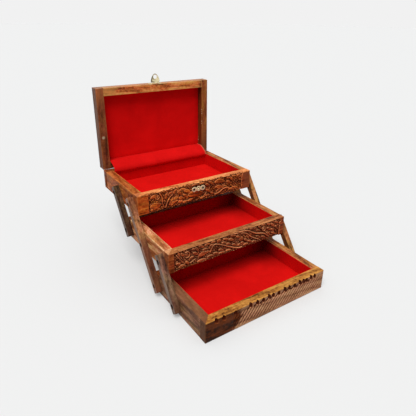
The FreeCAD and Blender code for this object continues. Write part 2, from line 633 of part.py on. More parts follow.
FORWARD = Rotation(Vector(0, 0, 1), -90)      # a nail driven towards -Y
BACKWARD = Rotation(Vector(0, 0, 1), 90)      # towards +Y
UPWARD = Rotation(Vector(0, 1, 0), -90)       # towards +Z
DOWNWARD = Rotation(Vector(0, 1, 0), 90)      # towards -Z
nail_x = [f"{middle} + {sign} * Sizes.nail_spread" for _, middle in HINGES for sign in (-1, 1)]
LEAF_FACE = "Sizes.leaf_thick + Sizes.nail_head_high"
fasteners("tray_hinge_nails", nail,
          [(x, f"{TOP_BACK} + {LEAF_FACE}", f"{PIN_Z} - Sizes.nail_reach") for x in nail_x],
          [FORWARD] * len(nail_x))
fasteners("lid_hinge_nails", nail,
          [(x, f"{PIN_Y} + Sizes.nail_reach", f"{LID_FOOT_Z} - ({LEAF_FACE})") for x in nail_x],
          [UPWARD] * len(nail_x))


# ---- hasp on the lid's front rail, its flap turned up, and the keeper on the top tray

HASP_LONG = "(Sizes.flap_knuckle + 2 * Sizes.knuckle_play + 2 * Sizes.hasp_ear)"
GAP_LONG = "(Sizes.flap_knuckle + 2 * Sizes.knuckle_play)"
base_plate = box("hasp_plate", "Sizes.hasp_wide", "Sizes.hasp_reach", "Sizes.hasp_plate",
                 "-Sizes.hasp_wide / 2", HASP_Y, LID_HEAD_Z)
base_ears = [rod(f"hasp_ear_{count}", "Sizes.knuckle_round", "Sizes.hasp_ear", x, HASP_Y, HASP_Z,
                 ALONG_X)
             for count, x in enumerate((f"-{HASP_LONG} / 2", f"{GAP_LONG} / 2"))]
base_notch = box("hasp_notch", GAP_LONG, PLATE_LOW, "2 * Sizes.knuckle_round", f"-{GAP_LONG} / 2",
                 HASP_Y, f"{LID_HEAD_Z} - Sizes.hasp_plate / 2")
base_bore = rod("hasp_bore", "Sizes.hasp_pin", HASP_LONG, f"-{HASP_LONG} / 2", HASP_Y, HASP_Z,
                ALONG_X)
base_holes = [rod(f"hasp_hole_{count}", "Sizes.nail_shank", "Sizes.hasp_plate",
                  f"{sign} * Sizes.hasp_nail_spread", f"{HASP_Y} + Sizes.hasp_nail_reach",
                  LID_HEAD_Z, Rotation()) for count, sign in enumerate((-1, 1))]
base_notched = cut("hasp_notched", base_plate, [base_notch])
keep(cut("hasp_base_cut", fuse("hasp_joined", [base_notched] + base_ears),
         [base_bore] + base_holes), "hasp_base")
keep(rod("hasp_pin_rod", "Sizes.hasp_pin", HASP_LONG, f"-{HASP_LONG} / 2", HASP_Y, HASP_Z,
         ALONG_X), "hasp_pin")
fasteners("hasp_nails", nail,
          [(f"{sign} * Sizes.hasp_nail_spread", f"{HASP_Y} + Sizes.hasp_nail_reach",
            f"{LID_HEAD_Z} + Sizes.hasp_plate + Sizes.nail_head_high") for sign in (-1, 1)],
          [DOWNWARD] * 2)

FLAP_Y = f"({HASP_Y} + Sizes.knuckle_round - Sizes.flap_thick)"
FLAP_END = "(Sizes.flap_long - Sizes.flap_wide / 2)"
SLOT_HALF = "((Sizes.slot_wide - Sizes.slot_high) / 2)"
tongue = [
    box("flap_plate", "Sizes.flap_wide", "Sizes.flap_thick", FLAP_END, "-Sizes.flap_wide / 2",
        FLAP_Y, HASP_Z),
    rod("flap_end", "Sizes.flap_wide / 2", "Sizes.flap_thick", "0", FLAP_Y,
        f"{HASP_Z} + {FLAP_END}", ALONG_Y),
]
shoulders = [box(f"flap_shoulder_{count}", "(Sizes.flap_wide - Sizes.flap_knuckle) / 2 + Sizes.knuckle_play",
                 "2 * Sizes.flap_thick", PLATE_LOW, x, f"{FLAP_Y} - Sizes.flap_thick / 2", HASP_Z)
             for count, x in enumerate(("-Sizes.flap_wide / 2 - Sizes.knuckle_play",
                                        "Sizes.flap_knuckle / 2"))]
below = box("flap_below", "2 * Sizes.flap_wide", "2 * Sizes.flap_thick", "2 * Sizes.flap_wide",
            "-Sizes.flap_wide", f"{FLAP_Y} - Sizes.flap_thick / 2", f"{HASP_Z} - 2 * Sizes.flap_wide")
tongue_cut = cut("flap_tongue", fuse("flap_whole", tongue), shoulders + [below])
flap_knuckle = rod("flap_barrel", "Sizes.knuckle_round", "Sizes.flap_knuckle",
                   "-Sizes.flap_knuckle / 2", HASP_Y, HASP_Z, ALONG_X)
flap_waste = [
    rod("flap_bore", "Sizes.hasp_pin + Sizes.pin_play", "Sizes.flap_knuckle",
        "-Sizes.flap_knuckle / 2", HASP_Y, HASP_Z, ALONG_X),
    box("slot_middle", f"2 * {SLOT_HALF}", "Sizes.flap_thick", "Sizes.slot_high",
        f"-{SLOT_HALF}", FLAP_Y, f"{HASP_Z} + Sizes.catch_drop - Sizes.slot_high / 2"),
] + [rod(f"slot_end_{count}", "Sizes.slot_high / 2", "Sizes.flap_thick", x, FLAP_Y,
         f"{HASP_Z} + Sizes.catch_drop", ALONG_Y)
     for count, x in enumerate((f"-{SLOT_HALF}", SLOT_HALF))]
keep(cut("flap_cut", fuse("flap_joined", [tongue_cut, flap_knuckle]), flap_waste), "hasp_flap")

KEEPER_Y = f"({TOP_FRONT} - Sizes.keeper_plate)"
LOBE_X = "(Sizes.keeper_wide / 2 - Sizes.keeper_high / 2)"
keeper_lobes = [rod(f"keeper_lobe_{count}", "Sizes.keeper_high / 2", "Sizes.keeper_plate",
                    x, KEEPER_Y, CATCH_Z, ALONG_Y)
                for count, x in enumerate((f"-{LOBE_X}", "0", LOBE_X))]
keeper_waist = box("keeper_waist", f"2 * {LOBE_X}", "Sizes.keeper_plate", "Sizes.keeper_waist",
                   f"-{LOBE_X}", KEEPER_Y, f"{CATCH_Z} - Sizes.keeper_waist / 2")
catch_ring = doc.addObject("Part::Torus", "catch_ring")
bind(catch_ring, Radius1="Sizes.catch_round", Radius2="Sizes.catch_wire")
place(catch_ring, "0", KEEPER_Y, CATCH_Z)
catch_rear = box("catch_rear", "4 * Sizes.catch_round", "4 * Sizes.catch_round",
                 "4 * Sizes.catch_wire", "-2 * Sizes.catch_round",
                 f"{KEEPER_Y} + Sizes.keeper_plate / 2", f"{CATCH_Z} - 2 * Sizes.catch_wire")
catch_front = cut("catch_front", catch_ring, [catch_rear])
keeper_holes = [rod(f"keeper_hole_{count}", "Sizes.nail_shank", "Sizes.keeper_plate",
                    f"{sign} * Sizes.keeper_nail_spread", KEEPER_Y, CATCH_Z, ALONG_Y)
                for count, sign in enumerate((-1, 1))]
keep(cut("keeper_cut", fuse("keeper_joined", keeper_lobes + [keeper_waist, catch_front]),
         keeper_holes), "hasp_keeper")
fasteners("keeper_nails", nail,
          [(f"{sign} * Sizes.keeper_nail_spread", f"{KEEPER_Y} - Sizes.nail_head_high", CATCH_Z)
           for sign in (-1, 1)], [BACKWARD] * 2)


# ---- check every feature, then write one file for each sub-part

doc.recompute()
for thing in doc.Objects:
    if "Invalid" in thing.State or "Error" in thing.State:
        raise RuntimeError(f"{thing.Label} failed: {thing.State}")
for part in subparts:
    shape = Part.getShape(part)
    if shape.isNull() or not shape.isValid() or not shape.Solids:
        raise RuntimeError(f"{part.Label} has no valid solid")
os.makedirs("parts", exist_ok=True)
for part in subparts:
    Part.getShape(part).exportStep(os.path.join("parts", f"{part.Label}.step"))
print(f"{len(subparts)} sub-parts, arm pitch {value(PITCH):.3f} mm,"
      f" tier {value(TIER_BACK):.3f} mm back and {value(TIER_UP):.3f} mm up")
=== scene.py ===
import math

import bmesh
import bpy
import numpy as np
from mathutils import Matrix, Vector, noise


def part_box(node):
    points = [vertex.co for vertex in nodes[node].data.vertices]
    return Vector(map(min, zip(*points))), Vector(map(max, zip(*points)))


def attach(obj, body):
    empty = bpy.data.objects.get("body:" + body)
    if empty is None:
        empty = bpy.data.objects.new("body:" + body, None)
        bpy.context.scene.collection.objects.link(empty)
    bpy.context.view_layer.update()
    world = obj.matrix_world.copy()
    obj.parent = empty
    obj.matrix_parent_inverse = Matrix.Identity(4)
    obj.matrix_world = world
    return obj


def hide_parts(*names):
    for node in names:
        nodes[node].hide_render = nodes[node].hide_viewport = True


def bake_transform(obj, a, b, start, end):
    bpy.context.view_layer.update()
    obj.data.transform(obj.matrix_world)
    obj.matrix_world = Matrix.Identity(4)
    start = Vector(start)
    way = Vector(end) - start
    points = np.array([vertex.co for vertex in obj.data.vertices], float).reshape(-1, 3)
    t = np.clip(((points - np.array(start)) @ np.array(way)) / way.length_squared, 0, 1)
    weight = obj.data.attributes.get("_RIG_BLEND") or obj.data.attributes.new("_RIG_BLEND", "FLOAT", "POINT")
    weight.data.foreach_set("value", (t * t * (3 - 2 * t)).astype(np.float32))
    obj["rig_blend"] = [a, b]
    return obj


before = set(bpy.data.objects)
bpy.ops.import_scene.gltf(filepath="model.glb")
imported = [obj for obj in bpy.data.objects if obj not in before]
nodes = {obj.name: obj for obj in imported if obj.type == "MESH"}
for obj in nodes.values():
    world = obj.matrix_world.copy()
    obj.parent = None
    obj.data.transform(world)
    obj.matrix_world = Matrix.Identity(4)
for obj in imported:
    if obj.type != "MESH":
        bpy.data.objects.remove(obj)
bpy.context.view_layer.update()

scene = bpy.context.scene
mm = 0.001
trays = ("bottom", "middle", "top")


# camera and light

camera = {
    "place": (-0.30706, -0.37291, 0.35845),
    "azimuth": 34.685,  # degrees to the right of straight ahead
    "down": 24.185,  # degrees below level
    "roll": 0.0151,  # radians
    "lens": 34.87,
    "sensor": 36.0,
    "shift": (-0.01145, -0.02339),
    "clip": (0.02, 100.0),
}
light = {
    "backdrop": (0.88, 0.88, 0.88, 1.0),  # what the camera sees behind the box
    "sky": (1.0, 0.99, 0.97, 1.0),
    "skyLow": 0.0,  # light from the walls of the room
    "skyHigh": 0.84,  # light from straight above
    "skyEdge": 0.12,  # height above the horizon where the light starts, 1 being overhead
    "softbox": (1.0, 0.98, 0.95),
    "softboxPower": 2.30,
    "softboxSpread": 34.0,  # degrees
    "softboxTilt": (20.0, 24.0),  # degrees from overhead, towards the front and the left
    "floorHalf": 20.0,
    "floorDrop": 0.0002,
    "floorBounce": (0.30, 0.30, 0.30, 1.0),
    "floorLit": (0.745, 0.763, 0.782, 1.0),  # the floor's lit share, as bright as the backdrop when lit
    "floorShade": 0.70,  # how much of the real shadow the floor shows
}


def linear(red, green, blue):  # a colour from 0 to 255 as the shaders want it
    return tuple(
        c / 255 / 12.92 if c <= 10 else ((c / 255 + 0.055) / 1.055) ** 2.4
        for c in (red, green, blue)
    ) + (1.0,)


def tones(colours, shade=1.0):
    return [linear(*(shade * c for c in colour)) for colour in colours]


def scaled(colour, share):
    return tuple(min(1.0, share * c) for c in colour[:3]) + (1.0,)


def plug(tree, node, inputs):  # outputs are linked, and other values are written in
    for socket, value in inputs.items():
        if isinstance(value, bpy.types.NodeSocket):
            tree.links.new(value, node.inputs[socket])
        else:
            node.inputs[socket].default_value = value


def addNode(tree, kind, inputs=None, **settings):
    made = tree.nodes.new("ShaderNode" + kind)
    for name, value in settings.items():
        setattr(made, name, value)
    plug(tree, made, inputs or {})
    return made


def calc(tree, operation, first, second, clamp=False):
    return addNode(tree, "Math", {0: first, 1: second}, operation=operation, use_clamp=clamp).outputs[0]


def plus(tree, first, second):
    return calc(tree, "ADD", first, second)


def minus(tree, first, second):
    return calc(tree, "SUBTRACT", first, second)


def times(tree, first, second):
    return calc(tree, "MULTIPLY", first, second)


def vector(tree, operation, *inputs):
    return addNode(tree, "VectorMath", dict(enumerate(inputs)), operation=operation).outputs


def mixColour(tree, share, first, second, mode="MIX"):
    return addNode(tree, "Mix", {0: share, 6: first, 7: second}, data_type="RGBA", blend_type=mode).outputs[2]


def mixShader(tree, share, first, second):
    return addNode(tree, "MixShader", {0: share, 1: first.outputs[0], 2: second.outputs[0]})


def ramp(tree, factor, stops):
    made = addNode(tree, "ValToRGB", {0: factor})
    band = made.color_ramp
    while len(band.elements) < len(stops):
        band.elements.new(0.5)
    for element, (position, colour) in zip(band.elements, stops):
        element.position, element.color = position, colour
    return made.outputs[0]


def span(tree, value, low, high, newLow=0.0, newHigh=1.0):
    inputs = {0: value, 1: low, 2: high, 3: newLow, 4: newHigh}
    return addNode(tree, "MapRange", inputs, interpolation_type="SMOOTHSTEP").outputs[0]


def noiseOf(tree, place, scale, detail=2.0, rough=0.5, twist=0.0):
    inputs = {"Vector": place, "Scale": scale, "Detail": detail, "Roughness": rough, "Distortion": twist}
    return addNode(tree, "TexNoise", inputs).outputs["Fac"]


def layer(tree, name):
    return addNode(tree, "Attribute", attribute_name=name).outputs["Fac"]


def newMaterial(name):
    material = bpy.data.materials.new(name)
    material.use_nodes = True
    tree = material.node_tree
    return material, tree, tree.nodes["Principled BSDF"]


def addObject(name, data):
    made = bpy.data.objects.new(name, data)
    scene.collection.objects.link(made)
    return made


def addMesh(name, bm, material):
    mesh = bpy.data.meshes.new(name)
    bm.to_mesh(mesh)
    bm.free()
    mesh.materials.append(material)
    return addObject(name, mesh)


def aimCamera():
    az, el = math.radians(camera["azimuth"]), math.radians(camera["down"])
    forward = Vector((math.sin(az) * math.cos(el), math.cos(az) * math.cos(el), -math.sin(el)))
    right = Vector((math.cos(az), -math.sin(az), 0))
    up = right.cross(forward)
    roll = camera["roll"]
    across = math.cos(roll) * right + math.sin(roll) * up
    upright = -math.sin(roll) * right + math.cos(roll) * up
    data = bpy.data.cameras.new("viewCamera")
    data.lens, data.sensor_width = camera["lens"], camera["sensor"]
    data.shift_x, data.shift_y = camera["shift"]
    data.clip_start, data.clip_end = camera["clip"]
    eye = addObject("viewCamera", data)
    turn = Matrix((across, upright, -forward)).transposed().to_4x4()
    eye.matrix_world = Matrix.Translation(Vector(camera["place"])) @ turn
    scene.camera = eye


def seenDirectly(tree):  # camera, glossy and transmission rays see the plain backdrop
    path = addNode(tree, "LightPath").outputs
    seen = calc(tree, "MAXIMUM", path["Is Camera Ray"], path["Is Glossy Ray"])
    return calc(tree, "MAXIMUM", seen, path["Is Transmission Ray"])


def lightTheRoom():
    world = bpy.data.worlds.new("softRoom")
    world.use_nodes = True
    scene.world = world
    tree = world.node_tree
    tree.nodes.clear()
    direction = addNode(tree, "TexCoord").outputs["Generated"]
    upward = addNode(tree, "SeparateXYZ", {0: direction}).outputs["Z"]
    strength = span(tree, upward, light["skyEdge"], 1.0, light["skyLow"], light["skyHigh"])
    sky = addNode(tree, "Background", {"Color": light["sky"], "Strength": strength})
    plain = addNode(tree, "Background", {"Color": light["backdrop"], "Strength": 1.0})
    both = mixShader(tree, seenDirectly(tree), sky, plain)
    addNode(tree, "OutputWorld", {"Surface": both.outputs[0]})


def hangSoftbox():
    data = bpy.data.lights.new("overheadSoftbox", "SUN")
    data.energy, data.angle = light["softboxPower"], math.radians(light["softboxSpread"])
    data.color = light["softbox"]
    lamp = addObject("overheadSoftbox", data)
    tiltFront, tiltLeft = (math.radians(a) for a in light["softboxTilt"])
    comesFrom = Vector((-math.tan(tiltLeft), -math.tan(tiltFront), 1.0)).normalized()
    lamp.rotation_euler = comesFrom.to_track_quat("Z", "Y").to_euler()
    lamp.location = comesFrom


def layFloor():
    material, tree, _ = newMaterial("paleFloor")
    tree.nodes.clear()
    lit = addNode(tree, "BsdfDiffuse", {"Color": light["floorLit"]})
    steady = addNode(tree, "Emission", {"Color": light["backdrop"], "Strength": 1.0})
    shown = mixShader(tree, light["floorShade"], steady, lit)
    bounce = addNode(tree, "BsdfDiffuse", {"Color": light["floorBounce"]})
    both = mixShader(tree, seenDirectly(tree), bounce, shown)
    addNode(tree, "OutputMaterial", {"Surface": both.outputs[0]})
    bm = bmesh.new()
    bmesh.ops.create_grid(bm, x_segments=2, y_segments=2, size=light["floorHalf"])
    bmesh.ops.translate(bm, verts=bm.verts, vec=(0, 0, -light["floorDrop"]))
    addMesh("studioFloor", bm, material)


scene.view_settings.view_transform = "Standard"
aimCamera()
lightTheRoom()
hangSoftbox()
layFloor()
print("camera and light are in place")


# finishes

woodTones = {  # dark, middle and light of each board's colour
    "topSide": ((94, 37, 14), (162, 80, 34), (206, 126, 66)),
    "middleSide": ((96, 46, 22), (192, 114, 66), (252, 202, 154)),
    "bottomSide": ((50, 32, 23), (128, 86, 61), (196, 142, 106)),
    "rightSide": ((88, 44, 18), (160, 94, 46), (206, 142, 84)),
    "chestnut": ((54, 24, 12), (118, 58, 30), (166, 92, 46)),
    "lidLeft": ((58, 30, 15), (126, 66, 39), (172, 104, 62)),
    "lidRight": ((72, 32, 12), (150, 82, 42), (186, 128, 62)),
    "amber": ((112, 50, 22), (234, 124, 64), (255, 188, 108)),
    "darkArm": ((28, 17, 10), (74, 48, 32), (118, 86, 62)),
    "brownArm": ((66, 38, 22), (154, 98, 62), (206, 146, 102)),
    "greyArm": ((44, 28, 20), (106, 72, 55), (148, 112, 88)),
    "rightArm": ((66, 32, 14), (158, 102, 56), (210, 150, 94)),
    "carvedTop": ((98, 33, 9), (190, 84, 28), (238, 136, 56)),
    "carvedMiddle": ((80, 27, 11), (144, 62, 29), (200, 106, 56)),
    "rose": ((96, 56, 38), (182, 126, 92), (226, 174, 132)),
    "plywood": ((120, 84, 52), (176, 134, 92), (208, 170, 124)),
}
armLean = math.radians(36.0)
grainTurns = {  # turns that bring the grain onto X
    "X": (0.0, 0.0, 0.0),
    "Y": (0.0, 0.0, -math.pi / 2),
    "Z": (0.0, math.pi / 2, 0.0),
    "arm": (armLean, math.pi / 2, 0.0),
}
woodLook = {
    "rings": (0.16, 40.0, 7.0),  # draw, scale and twist; the smaller the draw, the longer along the grain
    "streaks": (0.12, 300.0, 6.0, 0.7, 0.3),  # draw, scale, detail, roughness and twist
    "pores": (0.035, 1500.0),
    "mottle": (0.45, 70.0, 4.0, 0.62, 0.5),
    "blotches": (0.8, 315.0, 4.0, 0.7),
    "bands": (0.5, 110.0),
    "figure": (0.28, 0.36, 0.30, 0.06),  # shares of mottle, streaks, blotches and rings in the figure
    "middle": 0.49,  # where in the figure the middle colour lies, with the dark and the light beside it
    "toDark": 0.09,
    "toLight": 0.10,
    "spread": 1.0,  # above 1 the figure is calmer
    "veins": 0.35,  # strength of the narrow dark lines of the heartwood
    "poreDark": 0.5,
    "tint": 1.0,  # share of the yellower and redder bands
    "tints": ((0.95, 1.06, 0.90, 1.0), (1.06, 0.94, 1.06, 1.0)),
    "clear": (0.30, 0.68),  # figure between which a stain goes from its darker shade to its own colour
    "faces": (),  # sides with a colour of their own, a stain on some and painted light and shade on others: direction, colour, share, and the heights where it ends
    "faceShade": 0.78,
    "ends": (),  # soft patches of another colour along X: from, to, colour
    "endShade": 0.66,
    "waver": 0.03,  # how far the edge of a patch wanders
    "heart": None,  # X where the heartwood at the left end of a board stops
    "heartFade": 0.006,
    "heartTones": ((40, 14, 1), (110, 50, 12)),
    "chips": (),  # pale dents: place in mm and size in mm
    "chipTone": (204, 190, 158),
    "edgeWear": 0.5,  # strength and width of the worn edges
    "wearWide": 0.0022,
    "rough": (0.64, 0.42),  # in the dark and in the light streaks
    "bump": 0.3,
    "bumpHigh": 0.0004,
    "specular": 0.09,
    "rim": None,  # dark, middle and light of the plain rim of a carved board
    "hollows": ((54, 14, 3), (90, 32, 8)),  # dark stain in a carved face
    "highlightShare": 0.6,  # share of the painted highlight on the worn tops of the carving
    "highlightTone": (228, 150, 102),
}


def edgeMask(tree, place, low, high, reach):  # 1 on the edges of a box, 0 on its faces
    offset = vector(tree, "ABSOLUTE", vector(tree, "SUBTRACT", place, (low + high) / 2)[0])[0]
    inside = vector(tree, "SUBTRACT", (high - low) / 2, offset)[0]
    x, y, z = addNode(tree, "SeparateXYZ", {0: inside}).outputs
    nearest, other = calc(tree, "MINIMUM", x, y), calc(tree, "MAXIMUM", x, y)
    second = calc(tree, "MAXIMUM", nearest, calc(tree, "MINIMUM", other, z))
    return span(tree, second, 0.0, reach, 1.0, 0.0)


def carvedFinish(tree, look, corner, spot, figure, mottle, colour):  # paler rim, worn tops with a painted highlight, dark hollows
    mitred = minus(tree, minus(tree, spot["X"], spot["Y"]), corner.x - corner.y)
    rim = times(tree, layer(tree, "rim"), span(tree, mitred, -0.0004, 0.0004))
    dark, middle, pale = tones(look["rim"])
    colour = mixColour(tree, rim, colour, ramp(tree, figure, [(0.40, dark), (0.48, middle), (0.58, pale)]))
    # painted highlight: the raised, worn tops of the carving are made much paler, as if catching the light
    paintedHighlight = mixColour(tree, 1.0, colour, (2.2, 2.0, 1.8, 1.0), "MULTIPLY")
    paintedHighlight = mixColour(tree, look["highlightShare"], paintedHighlight, linear(*look["highlightTone"]))
    colour = mixColour(tree, calc(tree, "MULTIPLY", layer(tree, "worn"), 0.75, True), colour, paintedHighlight)
    stain = mixColour(tree, mottle, *tones(look["hollows"]))
    return mixColour(tree, layer(tree, "recess"), colour, stain)


def woodMaterial(name, along, tone, seed, box, **changes):
    look = {**woodLook, **changes}
    dark, middle, bright = tones(woodTones[tone])
    material, tree, shader = newMaterial(name)
    place = addNode(tree, "TexCoord").outputs["Object"]
    spot = addNode(tree, "SeparateXYZ", {0: place}).outputs
    shift = (seed * 0.37, seed * 0.113, seed * 0.071)
    mapping = {"Vector": place, "Rotation": grainTurns[along], "Location": shift}
    turned = addNode(tree, "Mapping", mapping).outputs[0]

    def drawnOut(share):
        return vector(tree, "MULTIPLY", turned, (share, 1.0, 1.0))[0]

    def pattern(kind):
        draw, *sizes = look[kind]
        return noiseOf(tree, drawnOut(draw), *sizes)

    def stained(stain, shade):  # a stain is darker in the low figure
        return mixColour(tree, clear, *tones([stain], shade), *tones([stain]))

    draw, scale, twist = look["rings"]
    rings = addNode(
        tree, "TexWave",
        {"Vector": drawnOut(draw), "Scale": scale, "Distortion": twist,
         "Detail": 3.0, "Detail Scale": 1.2, "Detail Roughness": 0.6},
        wave_type="BANDS", bands_direction="DIAGONAL", wave_profile="SIN",
    ).outputs["Fac"]
    streaks, mottle, blotches = pattern("streaks"), pattern("mottle"), pattern("blotches")
    pores = span(tree, pattern("pores"), 0.58, 0.70)
    figure = 0.0
    for part, share in zip((mottle, streaks, blotches, rings), look["figure"]):
        figure = plus(tree, figure, times(tree, part, share))
    clear = span(tree, figure, *look["clear"])

    at, spread = look["middle"], look["spread"]
    stops = [(at - look["toDark"] * spread, dark), (at, middle), (at + look["toLight"] * spread, bright)]
    colour = ramp(tree, figure, stops)
    colour = mixColour(tree, span(tree, rings, 0.12, 0.02, 0.0, look["veins"]), colour, dark)
    tint = mixColour(tree, span(tree, pattern("bands"), 0.35, 0.65), *look["tints"])
    colour = mixColour(tree, look["tint"], colour, tint, "MULTIPLY")
    waver = look["waver"]
    for start, stop, patch in look["ends"]:
        wavering = plus(tree, spot["X"], times(tree, mottle, waver))
        share = span(tree, wavering, start + waver / 2, stop + waver / 2)
        colour = mixColour(tree, share, colour, stained(patch, look["endShade"]))
    colour = mixColour(tree, times(tree, pores, look["poreDark"]), colour, scaled(dark, 0.5))
    if look["heart"]:
        leant = minus(tree, spot["X"], times(tree, spot["Z"], 0.3))
        shifted = plus(tree, leant, times(tree, minus(tree, mottle, 0.5), 0.05))
        at, fade = look["heart"], look["heartFade"]
        heart = span(tree, shifted, at - fade, at + fade, 1.0, 0.0)
        heartwood = mixColour(tree, span(tree, figure, 0.42, 0.60), *tones(look["heartTones"]))
        colour = mixColour(tree, heart, colour, heartwood)
    if box:
        patchy = span(tree, noiseOf(tree, turned, 160.0, 3.0), 0.35, 0.65, 0.25, 1.0)
        worn = times(tree, edgeMask(tree, place, *box, look["wearWide"]), patchy)
        colour = mixColour(tree, times(tree, worn, look["edgeWear"]), colour, scaled(bright, 1.25))
    facing = addNode(tree, "TexCoord").outputs["Normal"]
    # each face's own colour by the way it turns, which on some faces is painted light and shade
    for direction, stain, share, *fade in look["faces"]:
        share = span(tree, vector(tree, "DOT_PRODUCT", facing, direction)["Value"], 0.5, 0.9, 0.0, share)
        if fade:
            share = times(tree, share, span(tree, spot["Z"], *fade, 1.0, 0.0))
        colour = mixColour(tree, share, colour, stained(stain, look["faceShade"]))
    for x, y, z, size in look["chips"]:
        away = vector(tree, "DISTANCE", place, (x * mm, y * mm, z * mm))["Value"]
        away = plus(tree, away, times(tree, minus(tree, blotches, 0.5), 0.004))
        share = span(tree, away, 0.4 * size * mm, size * mm, 0.9, 0.0)
        colour = mixColour(tree, share, colour, linear(*look["chipTone"]))
    roughness = span(tree, streaks, 0.3, 0.7, *look["rough"])
    if look["rim"]:
        colour = carvedFinish(tree, look, box[0], spot, figure, mottle, colour)
        roughness = calc(tree, "ADD", roughness, times(tree, layer(tree, "recess"), 0.2), True)
    height = minus(tree, streaks, times(tree, pores, 0.8))
    bump = addNode(tree, "Bump", {"Strength": look["bump"], "Distance": look["bumpHigh"], "Height": height})
    plug(tree, shader, {
        "Base Color": colour, "Roughness": roughness, "Normal": bump.outputs[0],
        "Specular IOR Level": look["specular"],
    })
    return material


velvetLook = {
    "brushed": (26.0, 4.0, 0.6, 0.4),  # scale, detail, roughness and twist
    "fibres": (2600.0,),
    "lower": 0.90,  # shade of the pile brushed one way, and the other
    "upper": (1.06, 1.2, 1.2),
    "fibreDark": 0.6,
    "shadeFade": (-0.010, 0.012),  # painted shade under the tray above fades in round its front edge
    "shadeCorner": (0.46, 0.4, 0.4, 1.0),  # painted shade in the rear right corner, with where it starts across and along
    "cornerAcross": (0.040, 0.088),
    "cornerAlong": (-0.05, 0.02),
    "hem": (238, 142, 108),
    "bump": 0.3,
    "bumpHigh": 0.0003,
    "shader": {
        "Roughness": 0.95, "Specular IOR Level": 0.03, "Sheen Weight": 0.08, "Sheen Roughness": 0.5,
        "Sheen Tint": (1.0, 0.10, 0.08, 1.0),
    },
}


def velvetMaterial(name, tone, seed, shadeFrom=None, shadeShare=0.74):
    look = velvetLook
    material, tree, shader = newMaterial(name)
    place = addNode(tree, "TexCoord").outputs["Object"]
    shift = (seed * 0.21, seed * 0.17, 0.0)
    moved = addNode(tree, "Mapping", {"Vector": place, "Location": shift}).outputs[0]
    brushed, fibres = noiseOf(tree, moved, *look["brushed"]), noiseOf(tree, moved, *look["fibres"])
    base = linear(*tone)
    upper = tuple(min(1.0, c * share) for c, share in zip(base, look["upper"])) + (1.0,)
    colour = mixColour(tree, span(tree, brushed, 0.3, 0.7), scaled(base, look["lower"]), upper)
    between = span(tree, fibres, 0.3, 0.7, 0.0, 0.2)
    colour = mixColour(tree, between, colour, scaled(base, look["fibreDark"]))
    if shadeFrom is not None:  # painted shade: the pile under the tray above, and most in its rear right corner, is darkened as its shadow
        across, along = addNode(tree, "SeparateXYZ", {0: place}).outputs[:2]
        covered = span(tree, along, *(shadeFrom + d for d in look["shadeFade"]))
        rear = span(tree, along, *(shadeFrom + d for d in look["cornerAlong"]))
        corner = times(tree, span(tree, across, *look["cornerAcross"]), rear)
        # colour of the painted shadow under the tray above
        deep = (shadeShare, 0.8 * shadeShare, 0.8 * shadeShare, 1.0)
        for share, shade in ((covered, deep), (corner, look["shadeCorner"])):
            colour = mixColour(tree, share, colour, shade, "MULTIPLY")
    height = plus(tree, fibres, times(tree, brushed, 1.5))
    bump = addNode(tree, "Bump", {"Strength": look["bump"], "Distance": look["bumpHigh"], "Height": height})
    colour = mixColour(tree, layer(tree, "hem"), colour, linear(*look["hem"]))
    plug(tree, shader, {"Base Color": colour, "Normal": bump.outputs[0], **look["shader"]})
    return material


def metalMaterial(name, clean, tarnish, rough, share, metallic=1.0, specular=0.5):
    material, tree, shader = newMaterial(name)
    place = addNode(tree, "TexCoord").outputs["Object"]
    patches = noiseOf(tree, place, 420.0, 4.0, 0.6)
    scratches = noiseOf(tree, vector(tree, "MULTIPLY", place, (0.08, 1.0, 1.0))[0], 5200.0)
    colour = mixColour(tree, span(tree, patches, 0.42, 0.72, 0.0, share), linear(*clean), linear(*tarnish))
    colour = mixColour(tree, layer(tree, "edge"), colour, linear(*(0.45 * c for c in tarnish)))
    bump = addNode(tree, "Bump", {"Strength": 0.12, "Distance": 0.0001, "Height": scratches})
    plug(tree, shader, {
        "Base Color": colour, "Roughness": span(tree, patches, 0.3, 0.7, *rough), "Normal": bump.outputs[0],
        "Metallic": metallic, "Specular IOR Level": specular,
    })
    return material


def dress(node, material):
    mesh = nodes[node].data
    mesh.materials.clear()
    mesh.materials.append(material)


boardLook = {}  # node: grain and tone
for tray in trays:
    boardLook[tray + "_tray_back"] = ("X", "chestnut")
    boardLook[tray + "_tray_left"] = ("Y", tray + "Side")
    boardLook[tray + "_tray_right"] = ("Y", "rightSide")
for tray in trays:
    boardLook[tray + "_tray_floor"] = ("X", "plywood")
boardLook.update({
    "lid_front_rail": ("X", "amber"), "lid_rear_rail": ("X", "chestnut"),
    "lid_left_rail": ("Z", "lidLeft"), "lid_right_rail": ("Z", "lidRight"), "lid_panel": ("X", "chestnut"),
    "long_arm_left": ("arm", "brownArm"), "long_arm_right": ("arm", "rightArm"),
    "front_arm_left": ("arm", "greyArm"), "front_arm_right": ("arm", "rightArm"),
    "rear_arm_left": ("arm", "darkArm"), "rear_arm_right": ("arm", "rightArm"),
})
left, front, top = (-1.0, 0.0, 0.0), (0.0, -1.0, 0.0), (0.0, 0.0, 1.0)
upFront = (0.0, -math.cos(armLean), math.sin(armLean))
# painted light: the upward faces of the lid's rails are made paler, as lit from above
paintedLitTop = (top, (196, 146, 110), 0.75)
# painted shade on the inner faces of the right arms, which face the trays
shadedInnerSide = {"faces": ((left, (92, 56, 30), 0.7),)}
toneChanges = {"chestnut": {"blotches": (0.3, 315.0, 4.0, 0.7)}}
